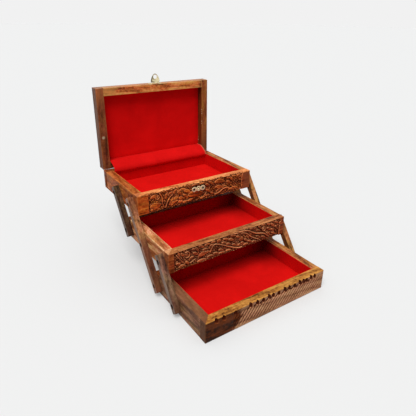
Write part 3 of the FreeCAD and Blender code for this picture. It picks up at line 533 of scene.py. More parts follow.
boardChanges = {  # node: what differs from woodLook
    "lid_front_rail": {
        "spread": 0.95, "faces": (paintedLitTop,),
        "ends": ((-0.066, -0.076, (255, 172, 94)), (0.078, 0.092, (132, 68, 36))),
    },
    "lid_left_rail": {
        "spread": 1.3, "chips": ((-96.4, 239.9, 181.0, 3.0),),
        "faces": (
            paintedLitTop, (left, (122, 84, 64), 0.75), (left, (114, 56, 32), 0.7, 0.150, 0.175),
            (front, (236, 146, 88), 0.85, 0.262, 0.215),
        ),
    },
    "lid_right_rail": {
        "spread": 1.5,
        "faces": (paintedLitTop, (left, (96, 44, 18), 0.8), (front, (140, 80, 46), 0.7, 0.150, 0.185)),
        "chips": (
            (89.6, 240.0, 206.0, 0.9), (89.7, 240.0, 202.5, 1.1), (89.6, 240.0, 199.0, 0.8),
            (89.6, 240.0, 185.0, 1.0), (89.7, 240.0, 181.0, 0.8), (89.5, 251.0, 153.0, 1.0),
            (89.5, 251.0, 148.0, 1.2),
        ),
    },
    "lid_panel": {"faces": ((left, (56, 44, 36), 0.85),)},
    "bottom_tray_left": {"spread": 1.7, "edgeWear": 0.15, "faces": ((top, (132, 84, 54), 0.75),)},
    "middle_tray_left": {
        "spread": 1.5, "mottle": (0.45, 90.0, 4.0, 0.62, 0.5), "blotches": (0.8, 405.0, 4.0, 0.7),
    },
    # painted light and shade on the left arms: outer faces paler as lit, faces towards the front darker as
    # shaded, in part their own colour
    "long_arm_left": {"faces": ((left, (164, 134, 122), 0.75), (upFront, (100, 54, 38), 0.8, 0.062, 0.084))},
    "front_arm_left": {"faces": ((left, (152, 130, 120), 0.75), (upFront, (88, 50, 36), 0.7, 0.014, 0.036))},
    "rear_arm_left": {"faces": ((left, (134, 114, 106), 0.85), (upFront, (62, 30, 20), 0.7, 0.066, 0.086))},
    "long_arm_right": shadedInnerSide,
    "front_arm_right": shadedInnerSide,
    "rear_arm_right": shadedInnerSide,
}
for number, (node, (along, tone)) in enumerate(boardLook.items()):
    box = None if along == "arm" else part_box(node)
    changes = {**toneChanges.get(tone, {}), **boardChanges.get(node, {})}
    dress(node, woodMaterial("wood_" + node, along, tone, number + 1, box, **changes))

brass = metalMaterial("brass", (236, 214, 150), (150, 116, 58), (0.22, 0.42), 0.6)
brassPale = metalMaterial("brassPale", (240, 226, 184), (176, 150, 96), (0.24, 0.45), 0.5)
# dark steel of the screws and nails, painted near black so that the screws also carry the shade of the
# recesses they sit in
darkSteelAndShade = metalMaterial("darkSteelAndShade", (44, 36, 32), (14, 11, 10), (0.5, 0.7), 0.8, 0.3, 0.2)
for node in nodes:
    if node.endswith("pivot_screws") or node == "keeper_nails":
        dress(node, darkSteelAndShade)
    elif "hinge" in node and "cloth" not in node or "nails" in node or node == "hasp_pin":
        dress(node, brass)
    elif node == "hasp_base":
        dress(node, brassPale)
velvets = {
    "lid": velvetMaterial("velvetLid", (234, 15, 16), 3),
    "strip": velvetMaterial("velvetStrip", (216, 18, 18), 4),
}
# where the painted shadow of the tray above begins on each tray's velvet
for number, (tray, shadeFrom) in enumerate((("bottom", 0.0224), ("middle", 0.1098), ("top", None))):
    velvets[tray + "Floor"] = velvetMaterial("velvetFloor_" + tray, (212, 15, 13), 1 + number, shadeFrom, 0.6)
    velvets[tray + "Wall"] = velvetMaterial("velvetWall_" + tray, (206, 8, 9), 11 + number, shadeFrom)
print("finishes are made")


# pieces that are made here

def finishPiece(name, bm, material, body, slot, sharp, *replaced):  # sharp: degrees at which an edge shows
    for face in bm.faces:
        face.smooth = True
    piece = addMesh(name, bm, material)
    piece.data.set_sharp_from_angle(angle=math.radians(sharp))
    if body:
        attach(piece, body)
    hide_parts(*replaced)
    return piece


def vertsOf(made):
    return [g for g in made["geom"] if isinstance(g, bmesh.types.BMVert)]


def openEdges(bm):
    return [e for e in bm.edges if e.is_boundary]


def faceOutward(bm):
    bmesh.ops.recalc_face_normals(bm, faces=bm.faces)


# carved fronts: lengths in millimetres, x from the middle and z from the tray's foot

relief = {
    "step": 0.38,  # distance between the points of a carved face
    "ground": -2.4,  # depth of the ground around the leaves
    "groundSoft": 0.8,  # width of the slope round it
    "outline": -2.3,  # depth of the cut round each leaf
    "outlineWide": 0.75,
    "leafFall": 0.75,  # how far the sides of a leaf fall, and how far it falls to its tip
    "tipFall": 0.15,
    "midrib": 0.75,  # depth and width of the cut along a leaf
    "midribWide": 0.32,
    "lobeCut": 0.55,  # depth of the cuts between the lobes
    "stemFall": 0.5,
    "edgeRound": 0.7,  # radius of the board's own edges
    "toolMarks": 0.36,
    "deepest": -3.0,
    "stainFrom": {"bottom": 0.5, "middle": 1.0, "top": 1.0},  # depth at which the dark stain starts
    "rimTall": 0.9,  # height of the paler rim, and of the fade at its foot
    "rimFade": 0.6,
    "cleanEdge": 0.6,  # clean wood just behind the carved edge
}


def within(face, lowX, highX, lowZ, highZ):
    columns = slice(*np.searchsorted(face["x"], (lowX, highX)))
    rows = slice(*np.searchsorted(face["z"], (lowZ, highZ)))
    x, z = np.meshgrid(face["x"][columns], face["z"][rows])
    return (rows, columns), x, z


def withinReach(face, x0, z0, reach):
    return within(face, x0 - reach, x0 + reach, z0 - reach, z0 + reach)


def turnedTo(x, z, x0, z0, angle):  # places along and across a stroke
    c, s = math.cos(math.radians(angle)), math.sin(math.radians(angle))
    return (x - x0) * c + (z - z0) * s, (z - z0) * c - (x - x0) * s


def insetFrom(x, z, lowX, highX, lowZ, highZ):
    return np.minimum(np.minimum(x - lowX, highX - x), np.minimum(z - lowZ, highZ - z))


def flow(points, count=10):  # a smooth line through a few points
    p = np.array(points, float)
    p = np.vstack([2 * p[0] - p[1], p, 2 * p[-1] - p[-2]])
    t = np.linspace(0, 1, count, endpoint=False)[:, None]
    runs = [
        0.5 * (2 * b + (c - a) * t + (2 * a - 5 * b + 4 * c - d) * t**2 + (3 * b - a - 3 * c + d) * t**3)
        for a, b, c, d in zip(p, p[1:], p[2:], p[3:])
    ]
    return np.vstack(runs + [p[-2:-1]])


def nearLine(face, points, margin):  # distance to a smooth line, and the share of the way along it
    line = flow(points)
    low, high = line.min(0) - margin, line.max(0) + margin
    spot, x, z = within(face, low[0], high[0], low[1], high[1])
    gap, share = np.full(x.shape, 1e9), np.zeros(x.shape)
    for i, (a, b) in enumerate(zip(line, line[1:])):
        d = b - a
        t = np.clip(((x - a[0]) * d[0] + (z - a[1]) * d[1]) / max(d @ d, 1e-12), 0, 1)
        here = np.hypot(x - a[0] - t * d[0], z - a[1] - t * d[1])
        share = np.where(here < gap, (i + t) / (len(line) - 1), share)
        gap = np.minimum(gap, here)
    return spot, gap, share


def layOver(face, spot, inside, near, body):  # a shape on top, with its cut outline
    height = face["height"]
    cut = np.where(near & ~inside, np.minimum(height[spot], relief["outline"]), height[spot])
    height[spot] = np.where(inside, body, cut)


def cutInto(face, spot, cut):
    face["height"][spot] = np.minimum(face["height"][spot], cut)


def carveField(face, *area):
    spot, x, z = within(face, *area)
    cutInto(face, spot, relief["ground"] * np.clip(insetFrom(x, z, *area) / relief["groundSoft"], 0, 1))


def carveLeaf(face, x0, z0, length, width, angle, bend=0.0, lobes=0, top=-0.1):
    spot, x, z = withinReach(face, x0, z0, length + width)
    along, across = turnedTo(x, z, x0, z0, angle)
    u = along / length
    v = across - bend * 4 * u * (1 - u)
    margin = relief["outlineWide"]
    run = np.clip(u, 0.0, 1.0)
    half = width / 2 * np.sin(np.pi * run**0.8) ** 0.7
    if lobes:
        half = half * (1 - 0.20 * np.abs(np.cos(np.pi * lobes * run)))
    inside = (u > 0) & (u < 1) & (np.abs(v) < half)
    near = (u > -margin / length) & (u < 1 + margin / length) & (np.abs(v) < half + margin)
    out = np.clip(np.abs(v) / np.maximum(half, 1e-6), 0, 1)
    body = top - relief["leafFall"] * out**2.2 - relief["tipFall"] * run
    body = body - relief["midrib"] * np.exp(-(v / relief["midribWide"]) ** 2) * (run < 0.93)
    if lobes:
        rib = np.abs(np.sin(np.pi * (run * lobes - 0.45 * out)))
        body = body - relief["lobeCut"] * (1 - rib) ** 2.5 * out**0.5
    layOver(face, spot, inside, near, body)


def carveStem(face, points, wide, taper=0.6, top=-0.2):
    spot, gap, share = nearLine(face, points, wide + relief["outlineWide"])
    half = wide / 2 * (1 - taper * share)
    body = top - relief["stemFall"] * (gap / half) ** 2
    layOver(face, spot, gap < half, gap < half + relief["outlineWide"], body)


def carveScroll(face, x0, z0, radius, turns, start, hand=1, wide=1.5):
    t = np.linspace(0, 1, int(turns * 10) + 2)
    a = math.radians(start) + hand * t * turns * 2 * math.pi
    r = radius * (1 - 0.88 * t)
    carveStem(face, np.column_stack([x0 + r * np.cos(a), z0 + r * np.sin(a)]), wide, 0.35)


def carveRosette(face, x0, z0, radius, petals):
    spot, x, z = withinReach(face, x0, z0, radius + relief["outlineWide"])
    r, a = np.hypot(x - x0, z - z0), np.arctan2(z - z0, x - x0)
    petal = np.abs(np.cos(a * petals / 2))
    rim = radius * (0.74 + 0.26 * petal**0.6)
    out = np.clip(r / rim, 0, 1)
    body = -0.25 - 0.55 * out**2 - 0.6 * (1 - petal) ** 2 * out
    body = np.where(r < 0.34 * radius, -0.75, body)
    body = np.where(r < 0.25 * radius, -0.15 - 0.4 * (r / (0.25 * radius)) ** 2, body)
    layOver(face, spot, r < rim, r < rim + relief["outlineWide"], body)


def carveGroove(face, points, wide, depth):
    spot, gap, share = nearLine(face, points, wide)
    half = wide / 2 * (0.35 + 0.65 * np.sin(np.pi * np.clip(share, 0.02, 0.98)) ** 0.5)
    cutInto(face, spot, -depth * np.clip(1 - gap / half, 0, 1) ** 0.7)


def carveLattice(face, lowX, highX, lowZ, highZ, pitch, depth):
    spot, x, z = within(face, lowX, highX, lowZ, highZ)
    for way in (1, -1):
        wave = np.abs(np.sin(np.pi * (x + way * z) / pitch))
        cutInto(face, spot, -depth * (1 - wave**0.55) - 0.25)


def carveFlutes(face, lowX, highX, lowZ, highZ, pitch, lean, depth, fade):
    spot, x, z = within(face, lowX, highX, lowZ, highZ)
    phase = (x - z / math.tan(math.radians(lean))) / pitch
    faded = np.clip(insetFrom(x, z, lowX, highX, lowZ, highZ) / fade, 0, 1)
    cutInto(face, spot, -depth * (1 - np.abs(np.sin(np.pi * phase))) ** 0.9 * faded)


def carveNotch(face, x0, z0, length, width, angle, depth):  # one thumbnail cut of a gouge
    spot, x, z = withinReach(face, x0, z0, length)
    along, across = turnedTo(x, z, x0, z0, angle)
    u = along / (length / 2)
    v = across / (width / 2 * np.clip(1.1 - 0.5 * u, 0.3, 2.0))
    cutInto(face, spot, -depth * np.clip(1 - u**2 - v**2, 0, 1) ** 0.4)


def carveFoliage(face, lowX, highX, lowZ, highZ, length, width, lean, swing, seed):  # ground of small leaves
    random = np.random.default_rng(seed)
    for row, z in enumerate(np.arange(lowZ + 0.4 * width, highZ - 0.2 * width, 0.78 * width)):
        for x in np.arange(lowX + (0.1 + 0.45 * (row % 2)) * length, highX - 0.6 * length, 0.8 * length):
            turn = lean + swing * math.sin(x / 9 + 1.3 * math.sin(z / 5)) + random.uniform(-20, 20)
            carveLeaf(
                face, x + random.uniform(-0.8, 0.8), z + random.uniform(-0.6, 0.6),
                length * random.uniform(0.8, 1.15), width * random.uniform(0.8, 1.2), turn,
                random.uniform(-0.5, 0.5), 0, -0.5 - 0.5 * random.uniform(0, 1) ** 2,
            )


carveWith = {
    "foliage": carveFoliage, "field": carveField, "leaf": carveLeaf, "stem": carveStem, "scroll": carveScroll,
    "rosette": carveRosette, "groove": carveGroove, "lattice": carveLattice,
    "flutes": carveFlutes, "notch": carveNotch,
}

carvings = {  # each kind of cut with the values that its function takes after the face
    "top": [
        ("field", (-84, 84.5, -1.5, 29.4)), ("foliage", (-84, 84.5, -2, 29, 5.6, 3.1, 10, 40, 5)),
        # square block with leaf scrolls
        ("leaf", (-82.5, 9, 19, 13, 4, -1.5, 6), (-81.5, 22.5, 16, 7.5, 2, 1.2, 5)),
        ("groove", ([(-83, 17.3), (-73, 16.6), (-65, 17)], 1.4, 1.9)),
        ("scroll", (-69.5, 22, 3.6, 1.3, 200, 1)), ("rosette", (-79.5, 3.6, 2.6, 6)),
        ("groove", ([(-84, 26), (-83.2, 16), (-84, 4)], 2, 2.2)),
        ("stem", ([(-66, 27), (-62.5, 20), (-62, 11), (-59.5, 3)], 2.4, 0.3)),
        ("groove", ([(-63.6, 27), (-60.5, 20), (-60.2, 12), (-57.8, 3.5)], 1.6, 2.3)),
        # dense leaves left of the catch
        ("stem", ([(-57, 2.5), (-52, 14), (-45, 21), (-36, 24), (-27, 22)], 1.8)),
        ("leaf", (-56.5, 15.5, 11.5, 6, 68, 1, 4), (-53, 19.5, 11, 5.5, 28, 1, 4),
         (-50.5, 4, 13.5, 8.5, 62, -2, 5), (-48, 3, 14, 7, 24, 2.5, 5), (-44, 10.5, 11, 6.5, 18, 1.5, 5),
         (-43.5, 20.5, 9.5, 5, 48, 1, 4), (-38, 23.5, 10, 5, 12, -1.2, 4),
         (-37.5, 22.5, 10.5, 5.5, -38, 1, 4), (-36, 6, 10, 6, -12, 1.2, 4)),
        ("rosette", (-30.6, 11.6, 3.6, 7)),
        ("leaf", (-30, 26.6, 11, 4.6, -14, -1, 4), (-27.5, 16.5, 13, 5, -42, 1, 5),
         (-26, 22.5, 15, 7, -30, 1.5, 6), (-28.5, 4, 9, 5, 8, -1, 4)),
        # smooth broad leaf under the catch
        ("leaf", (-19, 12.6, 30, 11, -4, 1.5, 0, -0.05), (-20, 3.4, 15, 4.6, 4, 0.6, 4)),
        ("notch", (-4.5, 3.8, 15, 4.8, 6, 2.4)),
        ("leaf", (3, 2.8, 13, 4.4, 12, -0.6, 4), (-12.5, 27, 12, 3.4, 2, 0.3, 3),
         (1, 27, 12, 3.4, 0, 0.3, 3)),
        # strokes and ribs right of the catch
        ("stem", ([(10, 4), (16, 12), (23, 18), (31, 25)], 1.6)),
        ("leaf", (13, 24.5, 13, 5.4, -36, 1, 5), (14, 15, 13, 5.2, -38, 1, 5),
         (19, 27.6, 14, 5.2, -40, 1, 5), (22.5, 8, 9, 4.6, -28, 0.5, 4), (12, 5.2, 11, 4.4, -6, 0.5, 4)),
        ("groove", ([(22, 24), (26, 15), (31, 6)], 1.3, 2.1)),
        ("leaf", (30.5, 23, 21, 9.5, -6, 2, 7), (31, 14.5, 20, 7, -12, 1.6, 6)),
        ("scroll", (48, 15.5, 3, 1.1, 60, -1)), ("groove", ([(52, 28), (51.4, 21), (52.2, 14)], 1.8, 2.3)),
        ("stem", ([(32, 3), (40, 4.8), (47, 8.6), (55, 9.6), (62, 6.8), (74, 3)], 2.6, 0.15, -0.02)),
        ("leaf", (33, 6, 12, 4.4, 26, 0.6, 4), (54, 26.8, 12, 5, -18, 0.8, 4),
         (53.5, 21, 12, 5.4, -34, 0.8, 4), (59, 27, 12, 5, -44, 0.8, 4)),
        ("lattice", (64.5, 81.5, 9.5, 23.5, 4.6, 1.8)),
        ("leaf", (64, 27.2, 10, 3.6, -6, 0.4, 3), (73.5, 26.4, 9.5, 4, 6, 0.4, 3),
         (57, 5.8, 15, 4.6, -10, 0.8, 5), (66, 8, 15, 4.6, -20, 0.8, 5)),
    ],
    "middle": [
        ("field", (-93, 93, -1.5, 29.4)), ("foliage", (-93, 93, -2, 29, 5.2, 2.9, -14, 36, 6)),
        ("leaf", (-88.5, 19, 11, 5.4, 78, -1.6, 4), (-90.5, 12.5, 13, 6, -46, 1.2, 4)),
        ("stem", ([(-89, 24), (-84, 17), (-78, 9), (-70, 6), (-60, 9.5)], 1.7)),
        ("leaf", (-83, 25.5, 11.5, 5.4, -32, -1, 4), (-87, 4, 11, 5, 8, 1, 4)),
        ("scroll", (-73.2, 19.8, 5.2, 1.7, 120, -1, 1.9)), ("rosette", (-73.2, 19.8, 2.6, 6)),
        ("groove", ([(-67.6, 25), (-67, 20), (-68.2, 14)], 1.6, 2.2)),
        ("leaf", (-76, 11, 9.5, 5, -50, 0.8, 4), (-71, 10, 10, 4.8, 28, 0.8, 4),
         (-66, 25.8, 11, 4.8, -16, 0.8, 4), (-64.5, 20.5, 12, 4.8, -36, 0.8, 4),
         (-60.5, 27, 10, 4.2, -50, 0.4, 4), (-55, 27.8, 12, 4.4, -30, 0.6, 4),
         (-56.5, 8.5, 21, 9, 14, 2.6, 7), (-58, 3.2, 16, 4.6, 2, 0.6, 5), (-49, 19, 12, 5, -10, 1, 4),
         (-45.5, 25.5, 11, 4.8, -6, 1, 4), (-42, 5, 14, 5, -4, 0.8, 5), (-38.5, 17.5, 12, 5.4, 34, 0.8, 4)),
        ("stem", ([(-36, 12.5), (-29, 21.5), (-16, 17), (-2, 9.5), (12, 3.2), (20, 2.6)], 2.2, 0.3, -0.05)),
        ("rosette", (-21.2, 25.2, 3.8, 7)),
        ("leaf", (-34.5, 26.4, 9, 4.6, -8, 0.5, 4), (-31, 8, 13, 5.2, -22, 0.6, 5),
         (-22, 11, 12, 4.8, -26, 0.6, 4), (-22, 4.2, 13, 4.4, -4, 0.5, 4), (-9.5, 4.8, 11, 4, -6, 0.4, 4),
         (-17, 20.5, 11.5, 4.2, -20, 0.5, 4), (-14.5, 26, 13, 4.8, -24, 0.5, 5),
         (-9, 16.4, 11, 4.2, -22, 0.5, 4), (-5, 22.4, 13, 4.8, -26, 0.5, 5),
         (-2, 27.4, 12.5, 4.2, -16, 0.5, 4), (1.5, 12, 10.5, 4.2, -24, 0.5, 4)),
        ("rosette", (18.4, 16, 4.3, 8)),
        ("leaf", (9, 23, 9.5, 4.4, -30, 0.5, 4), (11.5, 7.8, 11, 4.6, -12, 0.5, 4),
         (17.5, 10.2, 11, 4.4, -30, 0.5, 4)),
        ("stem", ([(6, 28.2), (17, 26.5), (28, 22), (36, 15), (43, 10), (52, 5.5)], 2, 0.2, -0.05),
         ([(14, 28.6), (26, 27.2), (33, 24.6), (46, 17.2), (62, 12), (72, 4)], 2.3, 0.2, -0.02)),
        ("leaf", (24, 14, 12, 4.6, -40, 0.5, 4), (22, 4.4, 12, 4.4, -4, 0.5, 4),
         (30, 9, 12, 4.4, -24, 0.5, 4), (38, 4.2, 11, 4, -4, 0.4, 4), (46, 12.4, 13, 4.4, -32, 0.5, 5),
         (57, 8.2, 12, 4.2, -28, 0.5, 4), (33, 28, 12, 4.2, -20, 0.5, 4), (41, 27.2, 13, 4.8, -34, 0.5, 5),
         (45.5, 22, 11, 4.4, -22, 0.5, 4), (50, 27.8, 10, 4.4, -44, 0.5, 4)),
        ("scroll", (61.5, 19.2, 4.2, 1.5, 150, -1, 1.7)),
        ("leaf", (55.5, 26.8, 10.5, 4.6, -8, 0.6, 4), (66.5, 27, 11, 4.6, -24, 0.6, 4),
         (67, 20, 11.5, 4.8, -36, 0.6, 4), (66.5, 12.4, 12, 4.6, -38, 0.6, 4),
         (75, 24.8, 11.5, 4.8, -42, 0.6, 4), (75.5, 16, 11.5, 4.6, -44, 0.6, 4),
         (77.5, 9, 12, 4.4, -30, 0.6, 4), (82.5, 26.4, 10.5, 4.4, -30, 0.6, 4),
         (84, 18.6, 10, 4.4, -48, 0.6, 4)),
        ("notch", (85, 8.6, 9, 3.4, -62, 2.4)),
    ],
    "bottom": [
        ("flutes", (-62, 98, 0.5, 27, 5.8, 54, 1.5, 5)),
        ("notch", *((x, 26.4 - 0.5 * (i % 3), 9, 4.8, -58, 2.8) for i, x in enumerate(
            (-85, -74, -56, -32, -21, -11, -1, 6, 16, 27, 35, 45, 55, 62, 68, 77, 84)))),
        ("notch", *((x, 24, 7.2, 3.2, 38, 2.5) for x in (
            -35.5, -24.5, -14, -4.5, 3, 12.5, 23, 31, 40.5, 50, 58.5, 65.5, 73))),
    ],
}


def blurred(height, reach):  # the mean height around each point
    for axis in (0, 1):
        pad = [(reach + 1, reach) if a == axis else (0, 0) for a in (0, 1)]
        total = np.cumsum(np.pad(height, pad, mode="edge"), axis=axis)
        ends = [slice(None), slice(None)]
        starts = [slice(None), slice(None)]
        ends[axis], starts[axis] = slice(2 * reach + 1, None), slice(None, -2 * reach - 1)
        height = (total[tuple(ends)] - total[tuple(starts)]) / (2 * reach + 1)
    return height


frontLook = {  # tray: tone of its face, colours of its rim, and what else differs from woodLook
    "bottom": {
        "tone": "rose", "rim": ((88, 46, 16), (162, 104, 44), (206, 146, 70)), "heart": -0.051,
        "highlightShare": 0.0, "edgeWear": 0.06, "spread": 2.0, "tint": 0.3,
        "faces": ((left, (112, 70, 42), 0.8), (top, (138, 88, 58), 0.9)),
    },
    "middle": {
        "tone": "carvedMiddle", "rim": ((88, 42, 18), (150, 86, 46), (198, 130, 78)), "edgeWear": 0.25,
        "faces": ((left, (156, 94, 58), 0.6), (top, (222, 160, 112), 0.9)),
    },
    "top": {
        "tone": "carvedTop", "rim": ((126, 62, 28), (214, 126, 68), (246, 174, 112)), "edgeWear": 0.35,
        "ends": ((0.080, 0.088, (172, 88, 50)),),
        "faces": ((left, (158, 92, 54), 0.6), (top, (206, 126, 78), 0.9)),
    },
}


def carvedFront(tray, seed):
    node = tray + "_tray_front"
    low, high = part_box(node)
    wide, tall = (high.x - low.x) / mm, (high.z - low.z) / mm
    across, up = round(wide / relief["step"]), round(tall / relief["step"])
    carved = np.zeros((up + 1, across + 1))
    face = {
        "x": np.linspace(-wide / 2, wide / 2, across + 1),
        "z": np.linspace(0, tall, up + 1),
        "height": carved,
    }
    for kind, *cuts in carvings[tray]:
        for sizes in cuts:
            carveWith[kind](face, *sizes)
    marks = blurred(np.random.default_rng(seed).standard_normal(carved.shape), 1)
    height = blurred(carved + relief["toolMarks"] * marks * (carved < -0.05), 1)
    height = np.clip(0.5 * height + 0.5 * carved, relief["deepest"], 0.0)
    around = blurred(height, 2)
    sunk = np.clip((around - height) / 0.5, 0, 1)
    deep = np.clip(-(height + relief["stainFrom"][tray]) / 0.9, 0, 1)
    recess = sunk * 0.6 + deep * 0.9
    # the raised tops, worn and also given the painted highlight
    worn = np.clip((height - around - 0.08) / 0.4, 0, 1) * np.clip(1.5 + height, 0, 1)
    edgeRound = relief["edgeRound"]
    x, z = np.meshgrid(face["x"], face["z"])
    inset = np.clip(edgeRound - insetFrom(x, z, -wide / 2, wide / 2, 0, tall), 0, edgeRound)
    back = edgeRound - np.sqrt(edgeRound**2 - inset**2)

    bm = bmesh.new()
    bmesh.ops.create_grid(bm, x_segments=across, y_segments=up, size=0.5)
    recessLayer, rimLayer, wornLayer = (bm.verts.layers.float.new(name) for name in ("recess", "rim", "worn"))
    for vert in bm.verts:
        i, k = round((vert.co.x + 0.5) * across), round((vert.co.y + 0.5) * up)
        vert[recessLayer] = min(1.0, float(recess[k, i]))
        aboveFoot = float(face["z"][k]) - tall + relief["rimTall"]
        vert[rimLayer] = min(1.0, max(0.0, aboveFoot / relief["rimFade"]))
        vert[wornLayer] = float(worn[k, i])
        vert.co = (
            low.x + (vert.co.x + 0.5) * wide * mm,
            low.y + float(back[k, i] - height[k, i]) * mm,
            low.z + (vert.co.y + 0.5) * tall * mm,
        )
    for behind in (relief["cleanEdge"] * mm, high.y - low.y):  # the sides of the board
        for vert in vertsOf(bmesh.ops.extrude_edge_only(bm, edges=openEdges(bm))):
            vert.co.y = min(max(vert.co.y, low.y) + behind, high.y)
            vert[recessLayer] = vert[wornLayer] = 0.0
            vert[rimLayer] = 1.0 if vert.co.z > high.z - mm else 0.0
    bmesh.ops.edgeloop_fill(bm, edges=openEdges(bm))
    faceOutward(bm)
    wood = woodMaterial("wood_" + node, "X", seed=seed, box=(low, high), **frontLook[tray])
    finishPiece(tray + "_tray_carved_front", bm, wood, tray + "_tray", "box_wood", 50, node)


for number, tray in enumerate(trays):
    carvedFront(tray, 31 + number)
print("fronts are carved")


# boards beside the lid's joint, whose meeting edges are square

squaring = {
    "edgeReach": 0.00075,  # how far the rounded edge reaches from its corner
    "outside": 0.088,  # only the ends beyond this X are squared
    "merge": 1e-6,
}


def squareEdge(node, body, corner):
    bm = bmesh.new()
    bm.from_mesh(nodes[node].data)
    bmesh.ops.remove_doubles(bm, verts=bm.verts, dist=squaring["merge"])
    for vert in bm.verts:
        away = max(abs(vert.co.y - corner.y), abs(vert.co.z - corner.z))
        if away < squaring["edgeReach"] and abs(vert.co.x) > squaring["outside"]:
            vert.co.y, vert.co.z = corner.y, corner.z
    bmesh.ops.remove_doubles(bm, verts=bm.verts, dist=squaring["merge"])
    bmesh.ops.dissolve_degenerate(bm, edges=bm.edges, dist=squaring["merge"])
    finishPiece(node + "_squared", bm, nodes[node].data.materials[0], body, "box_wood", 30, node)


squareEdge("lid_left_rail", "lid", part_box("lid_left_rail")[0])
squareEdge("lid_right_rail", "lid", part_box("lid_right_rail")[0])
squareEdge("top_tray_back", "top_tray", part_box("top_tray_back")[1])
print("the boards beside the lid's joint are square")


# velvet: padded floors, wall linings, lid lining and the strip over the hinge

def denseBox(low, high, cuts):  # a box cut finely along two of its sides
    bm = bmesh.new()
    bmesh.ops.create_cube(bm, size=1.0)
    for axis, count in cuts.items():
        along = [e for e in bm.edges if abs(e.verts[0].co[axis] - e.verts[1].co[axis]) > 0.5]
        bmesh.ops.subdivide_edges(bm, edges=along, cuts=count, use_grid_fill=True)
    size = high - low
    for vert in bm.verts:
        vert.co = low + Vector((vert.co[i] + 0.5) * size[i] for i in range(3))
    return bm


floorPad = {
    "cuts": {0: 78, 1: 46}, "crown": 0.0004,
    "edge": 0.0002,  # how far the pad falls at its edge, and the width of that fall
    "edgeWide": 0.006,
    "wave": 0.00012, "waveScale": 60.0,
}


def paddedFloor(tray):
    node = tray + "_tray_floor_pad"
    low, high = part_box(node)
    bm = denseBox(low, high, floorPad["cuts"])
    for vert in bm.verts:
        if vert.co.z > (low.z + high.z) / 2:
            edge = min(vert.co.x - low.x, high.x - vert.co.x, vert.co.y - low.y, high.y - vert.co.y)
            near = max(0.0, 1 - edge / floorPad["edgeWide"])
            vert.co.z += floorPad["crown"] * (1 - near) - floorPad["edge"] * near**2.5
            vert.co.z += floorPad["wave"] * noise.noise(vert.co * floorPad["waveScale"])
    pad = finishPiece(
        tray + "_tray_velvet_floor", bm, velvets[tray + "Floor"], tray + "_tray", "velvet", 60, node)


lining = {
    "thick": 0.0008, "corner": 0.0016, "cornerSteps": 4, "spacing": 0.004, "rise": 12,
    "wave": 0.0003, "waveScale": 30,
}


def wallLining(tray):  # one band of velvet round the four walls
    node = tray + "_tray_wall_lining"
    low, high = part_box(node)
    middle, tall = (low + high) / 2, high.z - low.z
    bm = bmesh.new()
    bmesh.ops.create_grid(bm, x_segments=1, y_segments=1, size=0.5)
    bmesh.ops.delete(bm, geom=bm.faces[:], context="FACES_ONLY")
    bmesh.ops.scale(bm, vec=(high.x - low.x, high.y - low.y, 1), verts=bm.verts)
    bmesh.ops.bevel(bm, geom=bm.verts[:], offset=lining["corner"], segments=lining["cornerSteps"],
                    profile=0.5, material=-1, affect="VERTICES")
    for e in [e for e in bm.edges if e.calc_length() > 0.05]:
        bmesh.ops.subdivide_edges(bm, edges=[e], cuts=round(e.calc_length() / lining["spacing"]) - 1)
    bmesh.ops.translate(bm, verts=bm.verts, vec=(middle.x, middle.y, low.z))
    row = bm.edges[:]
    for _ in range(lining["rise"]):
        made = bmesh.ops.extrude_edge_only(bm, edges=row)
        bmesh.ops.translate(bm, verts=vertsOf(made), vec=(0, 0, tall / lining["rise"]))
        edges = [g for g in made["geom"] if isinstance(g, bmesh.types.BMEdge)]
        row = [e for e in edges if abs(e.verts[0].co.z - e.verts[1].co.z) < 1e-6]
    for vert in bm.verts:
        share = (vert.co.z - low.z) / tall
        if high.x - abs(vert.co.x) < 0.001:
            inward = Vector((math.copysign(1, middle.x - vert.co.x), 0, 0))
        else:
            inward = Vector((0, math.copysign(1, middle.y - vert.co.y), 0))
        spot = Vector((vert.co.x * lining["waveScale"], vert.co.y * lining["waveScale"], share * 2))
        bulge = 0.5 + 0.5 * noise.noise(spot)
        vert.co += inward * lining["wave"] * bulge * math.sin(math.pi * min(1.0, share + 0.15))
    faceOutward(bm)
    bmesh.ops.solidify(bm, geom=bm.faces[:], thickness=lining["thick"])
    faceOutward(bm)
    band = finishPiece(
        tray + "_tray_velvet_walls", bm, velvets[tray + "Wall"], tray + "_tray", "velvet", 60, node)


lidPanel = {
    "cuts": {0: 100, 2: 60}, "crown": 0.0007, "edgeWide": 0.007, "pull": 0.00012, "pullScale": 90,
}


def lidLining():  # velvet drawn over a thin card
    low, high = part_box("lid_lining")
    bm = denseBox(low, high, lidPanel["cuts"])
    for vert in bm.verts:
        if vert.co.y < (low.y + high.y) / 2:
            edge = min(vert.co.x - low.x, high.x - vert.co.x, vert.co.z - low.z, high.z - vert.co.z)
            near = max(0.0, 1 - edge / lidPanel["edgeWide"])
            spot = Vector((vert.co.x * lidPanel["pullScale"], 0, vert.co.z * lidPanel["pullScale"]))
            ripple = noise.noise(spot) * (0.3 + near)
            vert.co.y -= lidPanel["crown"] * (1 - near**2) + lidPanel["pull"] * ripple
    panel = finishPiece("lid_velvet_panel", bm, velvets["lid"], "lid", "velvet", 60, "lid_lining")


strip = {
    "line": [  # y and z from the lid's panel down to the tray's rear wall
        (0.25124, 0.14029), (0.24553, 0.14037), (0.23959, 0.14013), (0.2325, 0.1368), (0.22551, 0.13230),
        (0.22331, 0.12700), (0.22601, 0.12366),
    ],
    "half": 0.0883, "columns": 90, "thick": 0.0007, "hem": 0.0016, "hemShare": 0.7,
    "wave": 0.00022, "waveScale": (55, 12, 12),
    "lowest": 0.1237,  # height of the lower edge, which hangs a little unevenly
    "droop": 0.0009, "droopTall": 0.009, "droopScale": 38,
}


